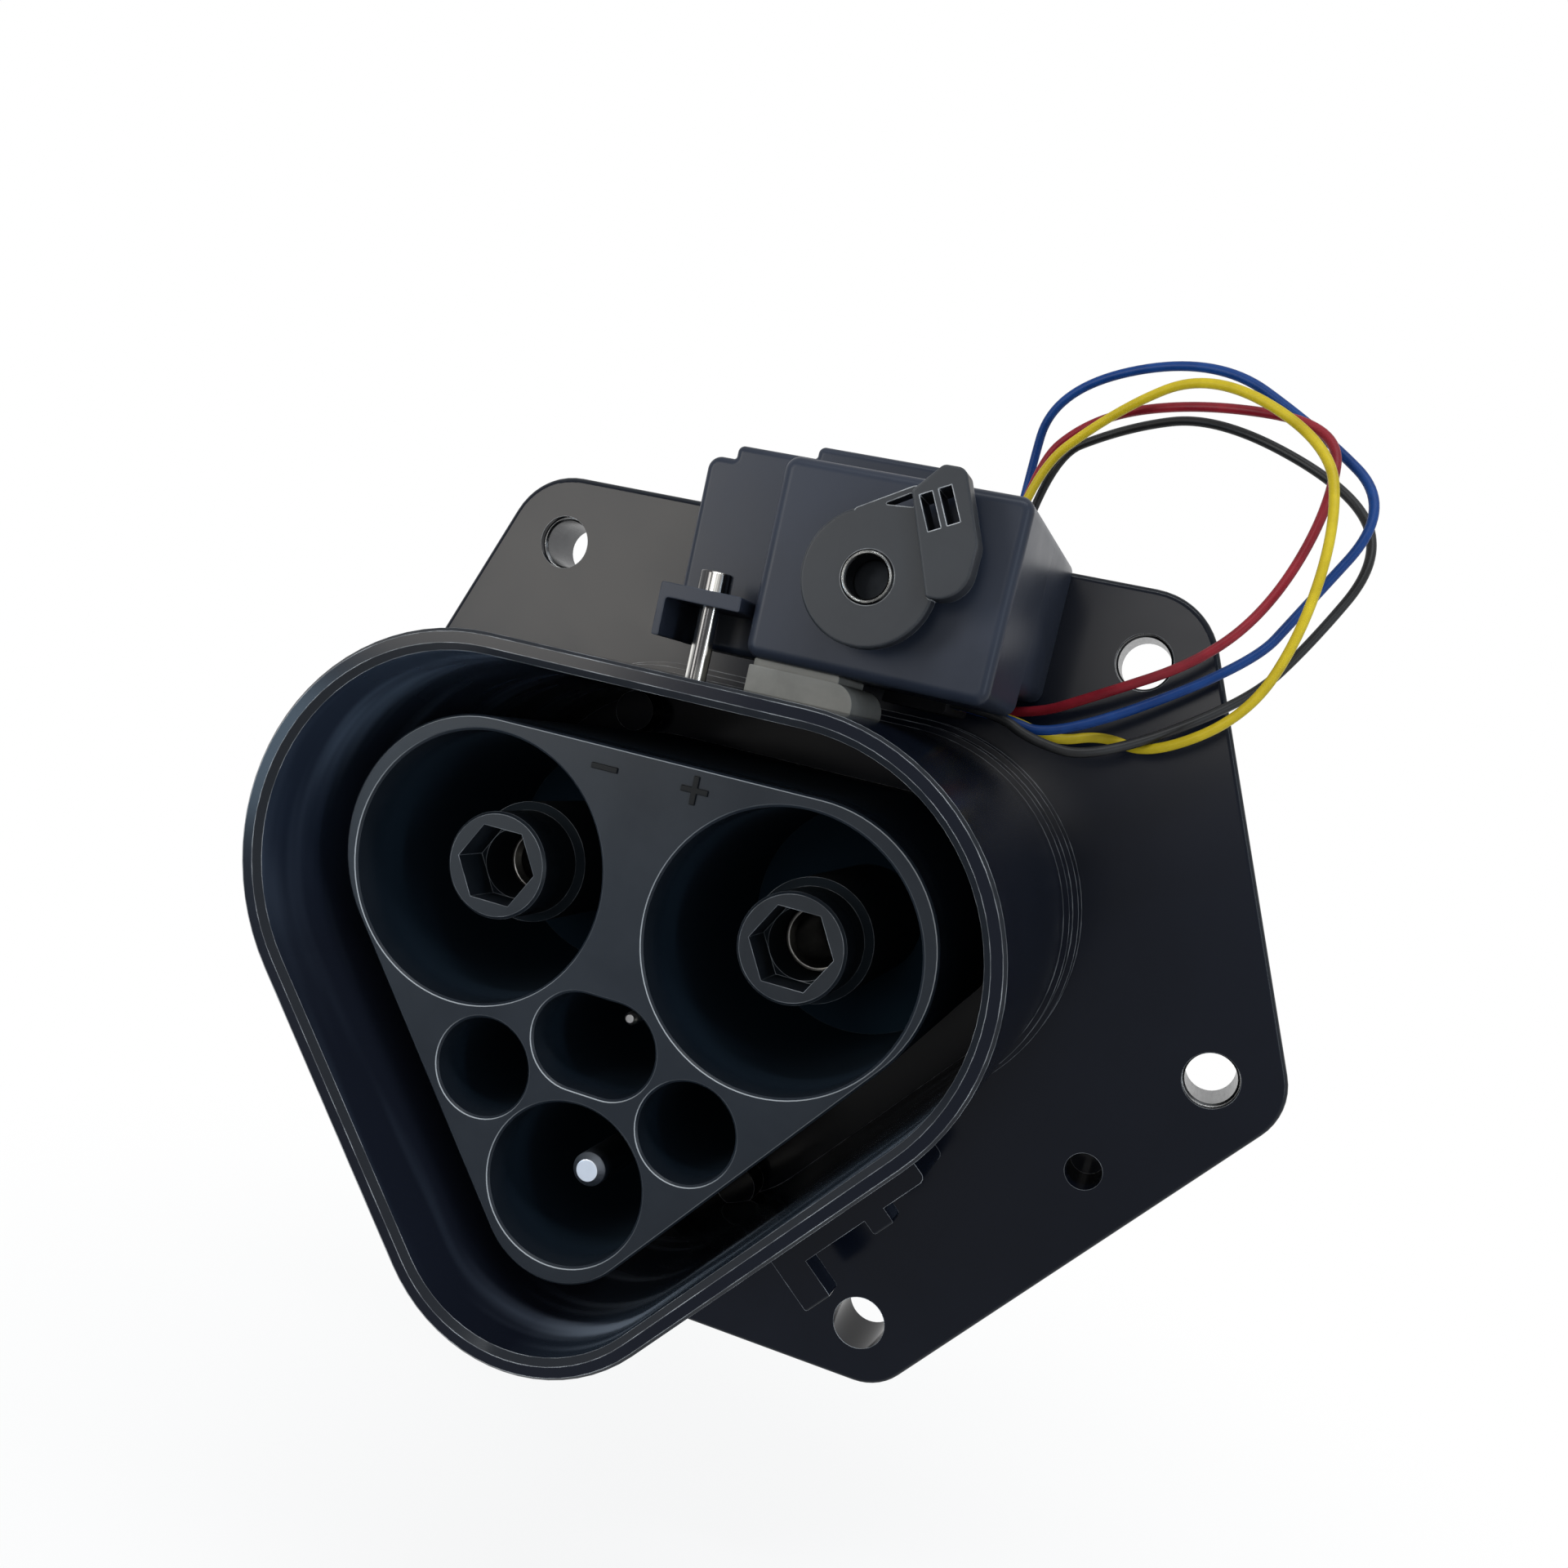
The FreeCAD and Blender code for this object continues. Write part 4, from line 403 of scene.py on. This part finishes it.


# beside each plastic's own colours, some entries are painted: shade deeper in recesses, light on recess
# floors and the shroud's lining, sheen streaks, and highlights on chamfers and edges
plasticLooks = {
    "shroudBlack": {"dark": (0.0022, 0.0036, 0.0078), "light": (0.0036, 0.0052, 0.0104),
                    "grain": 2600, "cloud": 22, "relief": 0.0015, "gloss": (0.12, 0.20), "shine": 0.11,
                    "edge": 1.0, "edgeColour": (0.52, 0.54, 0.57), "edgeWidth": 0.00013, "rolledEdges": True,
                    "faintEdges": 0.5, "faintLevels": (-0.050, -0.036), "faintDirection": (0, 1, 0.8),
                    "chamfer": (0.012, 0.014, 0.018), "front": 0.0, "faintest": 1.0, "floor": -0.016,
                    "inside": [(0.0, (0.018, 0.026, 0.040)), (0.25, (0.050, 0.070, 0.105)),
                               (0.38, (0.022, 0.030, 0.048)), (0.50, (0.015, 0.021, 0.036)),
                               (0.60, (0.0105, 0.0130, 0.0215)), (0.75, (0.0070, 0.0088, 0.0150)),
                               (0.91, (0.026, 0.036, 0.050)), (1.0, (0.018, 0.026, 0.040))],
                    "insideStreak": [(0.0, (0.05, 0.07, 0.10)), (0.25, (0.22, 0.29, 0.42)),
                                     (0.38, (0.09, 0.12, 0.17)), (0.50, (0.055, 0.070, 0.100)),
                                     (0.60, (0.022, 0.028, 0.042)), (0.75, (0.050, 0.060, 0.082)),
                                     (0.91, (0.24, 0.28, 0.34)), (1.0, (0.05, 0.07, 0.10))]},
    "blockGrey": {"dark": (0.0090, 0.0122, 0.0175), "light": (0.0125, 0.0162, 0.0222),
                  "grain": 4200, "cloud": 70, "relief": 0.16, "gloss": (0.28, 0.36), "shine": 0.13,
                  "edge": 0.3, "edgeColour": (0.24, 0.26, 0.28), "edgeWidth": 0.00010,
                  "chamfer": (0.30, 0.315, 0.335), "front": -0.06191, "faintest": 0.10,
                  "deep": (0.0040, 0.0100, 0.0180), "levels": (-0.0616, -0.0545),
                  "bottom": (0.0055, 0.018, 0.032), "bottomLevels": (-0.046, -0.026)},
    "markGrey": {"dark": (0.0020, 0.0026, 0.0034), "light": (0.0034, 0.0042, 0.0052),
                 "grain": 4200, "cloud": 110, "relief": 0.10, "gloss": (0.40, 0.48), "shine": 0.10,
                 "edge": 0.3, "edgeColour": (0.10, 0.11, 0.12), "edgeWidth": 0.00005},
    "carrierGrey": {"dark": (0.0080, 0.0098, 0.0125), "light": (0.0115, 0.0136, 0.0165),
                    "grain": 4200, "cloud": 70, "relief": 0.16, "gloss": (0.38, 0.48), "shine": 0.16,
                    "edge": 0.7, "edgeColour": (0.22, 0.24, 0.26), "edgeWidth": 0.00014},
    "postGrey": {"dark": (0.0085, 0.0110, 0.0150), "light": (0.0125, 0.0155, 0.0200),
                 "grain": 4200, "cloud": 110, "relief": 0.14, "gloss": (0.32, 0.42), "shine": 0.14,
                 "edge": 1.0, "edgeColour": (0.34, 0.36, 0.39), "edgeWidth": 0.00012,
                 "deep": (0.0026, 0.0054, 0.0085), "levels": (-0.0560, -0.0520)},
    "caseSlate": {"dark": (0.0150, 0.0192, 0.0305), "light": (0.0215, 0.0265, 0.0405),
                  "grain": 3600, "cloud": 60, "relief": 0.14, "gloss": (0.30, 0.38), "shine": 0.15,
                  "edge": 0.6, "edgeColour": (0.085, 0.095, 0.115), "edgeWidth": 0.00024},
    "leverBlack": {"dark": (0.0160, 0.0182, 0.0225), "light": (0.0222, 0.0246, 0.0290),
                   "grain": 4000, "cloud": 120, "relief": 0.12, "gloss": (0.36, 0.46), "shine": 0.20,
                   "edge": 1.0, "edgeColour": (0.56, 0.57, 0.59), "edgeWidth": 0.00022},
    "sealPale": {"dark": (0.145, 0.145, 0.137), "light": (0.205, 0.202, 0.190),
                 "grain": 2600, "cloud": 160, "relief": 0.3, "gloss": (0.5, 0.62), "shine": 0.25,
                 "edge": 0.25, "edgeColour": (0.26, 0.26, 0.25), "edgeWidth": 0.0002},
    "grommetBlack": {"dark": (0.004, 0.004, 0.005), "light": (0.009, 0.009, 0.010),
                     "grain": 2000, "cloud": 200, "relief": 0.4, "gloss": (0.5, 0.65), "shine": 0.12,
                     "edge": 0.3, "edgeColour": (0.03, 0.03, 0.032), "edgeWidth": 0.0003},
    "plugNatural": {"dark": (0.42, 0.41, 0.37), "light": (0.50, 0.49, 0.45),
                    "grain": 2400, "cloud": 120, "relief": 0.15, "gloss": (0.4, 0.5), "shine": 0.4,
                    "edge": 0.4, "edgeColour": (0.62, 0.61, 0.58), "edgeWidth": 0.0003},
    "boardGreen": {"dark": (0.012, 0.07, 0.03), "light": (0.02, 0.11, 0.045),
                   "grain": 1500, "cloud": 300, "relief": 0.2, "gloss": (0.3, 0.42), "shine": 0.5,
                   "edge": 0.5, "edgeColour": (0.25, 0.22, 0.12), "edgeWidth": 0.0002},
}

# beside the metals' own colours, the chrome screw's streaks are a painted reflection, the pin's shank colour
# is painted shade, and the edge colours are painted highlights
metalLooks = {
    "screwChrome": {"dark": (0.06, 0.06, 0.062), "light": (0.82, 0.81, 0.77),
                    "stretch": (1, 1, 0.02), "lines": 900, "streaks": (0.44, 0.58),
                    "gloss": (0.10, 0.20), "relief": 0.08,
                    "edgeColour": (0.80, 0.79, 0.75), "edgeWidth": 0.00015},
    "pinChrome": {"dark": (0.40, 0.45, 0.53), "light": (0.54, 0.60, 0.69),
                  "stretch": (1, 0.1, 1), "lines": 3200, "stain": 320,
                  "gloss": (0.30, 0.44), "relief": 0.05,
                  "edgeColour": (0.82, 0.83, 0.84), "edgeWidth": 0.00012,
                  "shank": (0.10, 0.115, 0.13), "levels": (-0.0557, -0.0535)},
    "pinTin": {"dark": (0.80, 0.81, 0.82), "light": (0.92, 0.92, 0.92),
               "stretch": (1, 0.1, 1), "lines": 3200, "stain": 320,
               "gloss": (0.34, 0.48), "relief": 0.05,
               "edgeColour": (0.95, 0.95, 0.94), "edgeWidth": 0.00012},
    "contactSilver": {"dark": (0.08, 0.08, 0.078), "light": (0.20, 0.198, 0.19),
                      "stretch": (1, 0.1, 1), "lines": 3000, "stain": 240,
                      "gloss": (0.24, 0.38), "relief": 0.10,
                      "edgeColour": (0.75, 0.74, 0.71), "edgeWidth": 0.0002},
    "bushSteel": {"dark": (0.045, 0.047, 0.050), "light": (0.11, 0.112, 0.115),
                  "stretch": (1, 0.12, 1), "lines": 2600, "stain": 240,
                  "gloss": (0.22, 0.36), "relief": 0.12,
                  "edgeColour": (0.62, 0.62, 0.61), "edgeWidth": 0.0002},
    "bushDark": {"dark": (0.010, 0.011, 0.012), "light": (0.035, 0.037, 0.040),
                 "stretch": (1, 0.12, 1), "lines": 2600, "stain": 240,
                 "gloss": (0.20, 0.30), "relief": 0.12,
                 "edgeColour": (0.60, 0.60, 0.58), "edgeWidth": 0.00028},
    "shaftBlack": {"dark": (0.0035, 0.0042, 0.0050), "light": (0.010, 0.011, 0.013),
                   "stretch": (1, 1, 1), "lines": 2600, "stain": 500,
                   "gloss": (0.30, 0.42), "relief": 0.12,
                   "edgeColour": (0.20, 0.20, 0.20), "edgeWidth": 0.00020},
    "screwZinc": {"dark": (0.32, 0.32, 0.31), "light": (0.5, 0.5, 0.48),
                  "stretch": (1, 1, 1), "lines": 2400, "stain": 300,
                  "gloss": (0.3, 0.45), "relief": 0.15,
                  "edgeColour": (0.7, 0.7, 0.68), "edgeWidth": 0.0002},
    "motorCan": {"dark": (0.38, 0.38, 0.38), "light": (0.5, 0.5, 0.5),
                 "stretch": (0.1, 1, 1), "lines": 2000, "stain": 150,
                 "gloss": (0.28, 0.4), "relief": 0.1,
                 "edgeColour": (0.65, 0.65, 0.65), "edgeWidth": 0.0003},
}

sheathLooks = {
    "sheathYellow": {"dark": (0.39, 0.285, 0.007), "light": (0.53, 0.40, 0.016), "shine": 0.18},
    "sheathRed": {"dark": (0.155, 0.006, 0.013), "light": (0.245, 0.013, 0.022), "shine": 0.18},
    "sheathBlue": {"dark": (0.001, 0.025, 0.125), "light": (0.006, 0.045, 0.190), "shine": 0.16},
    "sheathBlack": {"dark": (0.006, 0.006, 0.0065), "light": (0.015, 0.0155, 0.0165), "shine": 0.22},
}

finishes = {}
for name, look in plasticLooks.items():
    finishes[name] = mouldedPlastic(name, look)
for name, look in metalLooks.items():
    finishes[name] = platedMetal(name, look)
for name, look in sheathLooks.items():
    finishes[name] = wireSheath(name, look)

nodeFinishes = {
    "housing": "shroudBlack", "flange_bushes": "bushSteel",
    "contact_block": "blockGrey", "contact_carrier": "carrierGrey", "contact_retainer": "carrierGrey",
    "block_gasket": "grommetBlack", "block_screws": "screwZinc", "retainer_screws": "screwZinc",
    "power_post_left": "postGrey", "power_post_right": "postGrey",
    "power_contact_left": "contactSilver", "power_contact_right": "contactSilver",
    "earth_contact": "pinChrome", "signal_pins": "pinTin",
    "actuator_housing": "caseSlate", "actuator_cover": "caseSlate",
    "cover_screws": "screwZinc", "actuator_screws": "screwZinc", "ear_screw": "screwChrome",
    "release_lever": "leverBlack", "lever_bush": "bushDark",
    "shaft_bearing": "bushDark", "output_shaft": "shaftBlack",
    "lock_pin": "screwZinc", "lock_seal": "sealPale",
    "drive_gearbox": "plugNatural", "drive_motor": "motorCan", "gearbox_screws": "screwZinc",
    "end_switch": "postGrey", "control_board": "boardGreen",
    "wire_grommet": "grommetBlack", "harness_plug": "plugNatural",
}

for name, finish in nodeFinishes.items():
    piece = nodes[name]
    piece.data.materials.clear()
    piece.data.materials.append(finishes[finish])
print("finishes on", len(nodeFinishes), "pieces")


# the four wires from the case to the harness plug behind the flange

wireSettings = {
    "thickness": 0.00125,
    "roundSteps": 5,
    "lengthSteps": 16,
    "yellow": [(22.0, -20.4, 28.8), (28.4, -20.4, 28.8), (34.4, -20.4, 27.0), (40.0, -18.8, 29.2),
               (45.9, -20.2, 27.9), (55.7, -22.8, 34.6), (59.3, -21.6, 45.1), (60.0, -18.3, 58.5),
               (57.1, -14.2, 68.9), (41.2, -8.8, 76.6), (30.0, -2.9, 71.7), (18.4, 2.4, 61.2),
               (18.4, 2.4, 40.0)],
    "red": [(22.0, -17.0, 28.8), (30.1, -17.4, 29.4), (38.1, -20.4, 33.6), (49.3, -20.8, 40.2),
            (55.5, -17.3, 48.9), (58.9, -13.1, 61.8), (57.8, -8.4, 72.5), (40.6, -3.7, 73.9),
            (26.5, 1.1, 71.2), (18.4, 5.8, 63.2), (18.4, 5.8, 40.0)],
    "blue": [(22.0, -23.8, 28.8), (27.6, -23.6, 28.6), (34.6, -22.8, 27.3), (54.8, -17.4, 41.1),
             (58.7, -13.9, 48.7), (66.4, -9.7, 63.6), (55.4, -5.0, 72.4), (40.3, -0.3, 81.0),
             (19.8, 4.5, 75.0), (18.4, 9.2, 62.0), (18.4, 9.2, 40.0)],
    "black": [(22.0, -26.9, 28.8), (27.8, -26.9, 28.8), (32.4, -26.4, 26.5), (39.9, -24.5, 25.9),
              (55.5, -14.0, 36.9), (60.9, -10.5, 45.5), (66.7, -6.3, 57.9), (61.4, -1.6, 66.7),
              (42.5, 3.1, 74.2), (30.5, 7.9, 72.1), (18.4, 12.6, 66.2), (18.4, 12.6, 40.0)],
    "length": {"yellow": 0.1388, "red": 0.1330, "blue": 0.1493, "black": 0.1442},
}


def layWire(colour):
    route = [Vector(point) / 1000 for point in wireSettings[colour]]    # millimetres to metres
    curve = bpy.data.curves.new("wire_" + colour + "_lead", "CURVE")
    curve.dimensions = "3D"
    curve.bevel_depth = wireSettings["thickness"] / 2
    curve.bevel_resolution = wireSettings["roundSteps"]
    curve.resolution_u = wireSettings["lengthSteps"]
    curve.use_fill_caps = True
    line = curve.splines.new("NURBS")
    line.points.add(len(route) - 1)
    for point, place in zip(line.points, route):
        point.co = (*place, 1)
    line.order_u = 3
    line.use_endpoint_u = True
    wire = bpy.data.objects.new("wire_" + colour + "_lead", curve)
    bpy.context.scene.collection.objects.link(wire)
    curve.materials.append(finishes["sheath" + colour.capitalize()])
    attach(wire, "base")
    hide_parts("wire_" + colour)


for colour in ("yellow", "red", "blue", "black"):
    layWire(colour)
print("wires laid")


# raised minus and plus on the block's face, beside the two power recesses

markSettings = {
    "faceLevel": -0.062,
    "rise": 0.00022,
    "length": 0.0030,
    "width": 0.00062,
    "rounding": 0.00009,
    "roundSteps": 3,
    "places": {"minus": (-0.0051, 0.01386), "plus": (0.0051, 0.01386)},
}


def makeBar(name, place, upright):
    across, up = markSettings["length"], markSettings["width"]
    if upright:
        across, up = up, across
    bpy.ops.object.select_all(action="DESELECT")
    bpy.ops.mesh.primitive_cube_add(size=1, location=(place[0], markSettings["faceLevel"], place[1]))
    bar = bpy.context.object
    bar.name = name
    bar.scale = (across, markSettings["rise"] * 2, up)    # half of it is inside the block
    bpy.ops.object.transform_apply(location=True, rotation=True, scale=True)
    bpy.ops.object.mode_set(mode="EDIT")
    bpy.ops.mesh.select_all(action="SELECT")
    bpy.ops.mesh.bevel(offset=markSettings["rounding"], segments=markSettings["roundSteps"], affect="EDGES")
    bpy.ops.object.mode_set(mode="OBJECT")
    return bar


def raiseMarks():
    minus = makeBar("minus_mark", markSettings["places"]["minus"], False)
    plus = makeBar("plus_mark", markSettings["places"]["plus"], False)
    upright = makeBar("plus_upright", markSettings["places"]["plus"], True)
    crossing = plus.modifiers.new("crossing", "BOOLEAN")
    crossing.operation = "UNION"
    crossing.object = upright
    bpy.context.view_layer.objects.active = plus
    bpy.ops.object.modifier_apply(modifier="crossing")
    bpy.data.objects.remove(upright)
    for mark in (minus, plus):
        mark.data.materials.append(finishes["markGrey"])
        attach(mark, "base")


raiseMarks()
print("polarity marks raised")


# pale floor, white surroundings and soft lamps

stageSettings = {
    "floorLevel": -0.110,
    "floorSize": 6.0,
    "floorColour": (0.9, 0.9, 0.9),
    "floorRoughness": 0.9,
    "fadeStart": 0.04,
    "fadeEnd": 0.24,
    "nearWhite": 0.78,
    "worldStrength": 0.55,
    "worldColour": (0.85, 0.94, 1.0),
    "white": (1, 1, 1),
}


def addSwitch(tree, mask, lit, seen, output):
    # where the mask is 0 the surface is what lights it, where it is 1 it is what the camera sees
    mixer = addNode(tree, "ShaderNodeMixShader")
    tree.links.new(mask, mixer.inputs[0])
    tree.links.new(lit, mixer.inputs[1])
    tree.links.new(seen, mixer.inputs[2])
    tree.links.new(mixer.outputs[0], output.inputs["Surface"])


def makeFloor():
    bpy.ops.object.select_all(action="DESELECT")
    bpy.ops.mesh.primitive_plane_add(size=stageSettings["floorSize"],
                                     location=(0, 0, stageSettings["floorLevel"]))
    floor = bpy.context.object
    floor.name = "paleFloor"
    bpy.ops.object.transform_apply(location=True)
    material, tree, shader = startMaterial("paleFloorPaint")
    setInputs(tree, shader, Base_Color=stageSettings["floorColour"],
              Roughness=stageSettings["floorRoughness"], Specular_IOR_Level=0.0)
    glow = addNode(tree, "ShaderNodeEmission")
    setInputs(tree, glow, Color=stageSettings["white"], Strength=1.0)
    # a little of the paint and its shadow shows through the white near the socket
    reach = addNode(tree, "ShaderNodeVectorMath", operation="LENGTH")
    tree.links.new(addNode(tree, "ShaderNodeTexCoord").outputs["Object"], reach.inputs[0])
    fade = remap(tree, reach.outputs["Value"], (stageSettings["fadeStart"], stageSettings["fadeEnd"]),
                 (stageSettings["nearWhite"], 1.0), curve="SMOOTHSTEP")
    ray = addNode(tree, "ShaderNodeLightPath").outputs
    direct = calculate(tree, "MAXIMUM", ray["Is Camera Ray"], ray["Is Glossy Ray"])
    mask = calculate(tree, "MULTIPLY", direct, fade)
    addSwitch(tree, mask, shader.outputs[0], glow.outputs[0], tree.nodes["Material Output"])
    floor.data.materials.append(material)


def makeSurroundings():
    world = bpy.data.worlds.new("whiteStudio")
    bpy.context.scene.world = world
    world.use_nodes = True
    tree = world.node_tree
    soft = tree.nodes["Background"]
    setInputs(tree, soft, Color=stageSettings["worldColour"], Strength=stageSettings["worldStrength"])
    white = addNode(tree, "ShaderNodeBackground")
    setInputs(tree, white, Color=stageSettings["white"], Strength=1.0)
    ray = addNode(tree, "ShaderNodeLightPath").outputs
    direct = calculate(tree, "MAXIMUM", ray["Is Camera Ray"], ray["Is Glossy Ray"])
    mask = calculate(tree, "MAXIMUM", direct, ray["Is Transmission Ray"])
    addSwitch(tree, mask, soft.outputs[0], white.outputs[0], tree.nodes["World Output"])


lamps = {
    "keyLamp": {"place": (-0.45, -0.82, 0.16), "aim": (0.0, -0.03, 0.02), "width": 0.24, "height": 0.34,
                "power": 3.0, "colour": (1.0, 0.96, 0.88)},
    "topLamp": {"place": (0.12, -0.42, 0.76), "aim": (0.0, -0.03, 0.0), "width": 0.70, "height": 0.06,
                "power": 3.0, "colour": (0.93, 0.97, 1.0)},
    "sideLamp": {"place": (0.72, -0.45, 0.10), "aim": (0.0, -0.03, 0.0), "width": 0.05, "height": 0.60,
                 "power": 1.6, "colour": (0.78, 0.89, 1.0)},
    "lowLamp": {"place": (-0.38, -0.50, -0.055), "aim": (-0.01, -0.04, -0.05), "width": 0.16, "height": 0.07,
                "power": 0.42, "colour": (0.55, 0.78, 1.0)},
    "fillLamp": {"place": (0.025, -0.82, 0.135), "aim": (0.045, -0.01, 0.04), "width": 0.14, "height": 0.14,
                 "power": 0.46, "colour": (1.0, 0.98, 0.94)},
}


def hangLamp(name, lamp):
    place = Vector(lamp["place"])
    turn = (Vector(lamp["aim"]) - place).to_track_quat("-Z", "Y").to_euler()
    bpy.ops.object.light_add(type="AREA", location=place, rotation=turn)
    light = bpy.context.object
    light.name = name
    light.data.shape = "RECTANGLE"
    light.data.size = lamp["width"]
    light.data.size_y = lamp["height"]
    light.data.energy = lamp["power"]
    light.data.color = lamp["colour"]


makeFloor()
makeSurroundings()
for name, lamp in lamps.items():
    hangLamp(name, lamp)
print("stage and lamps ready")
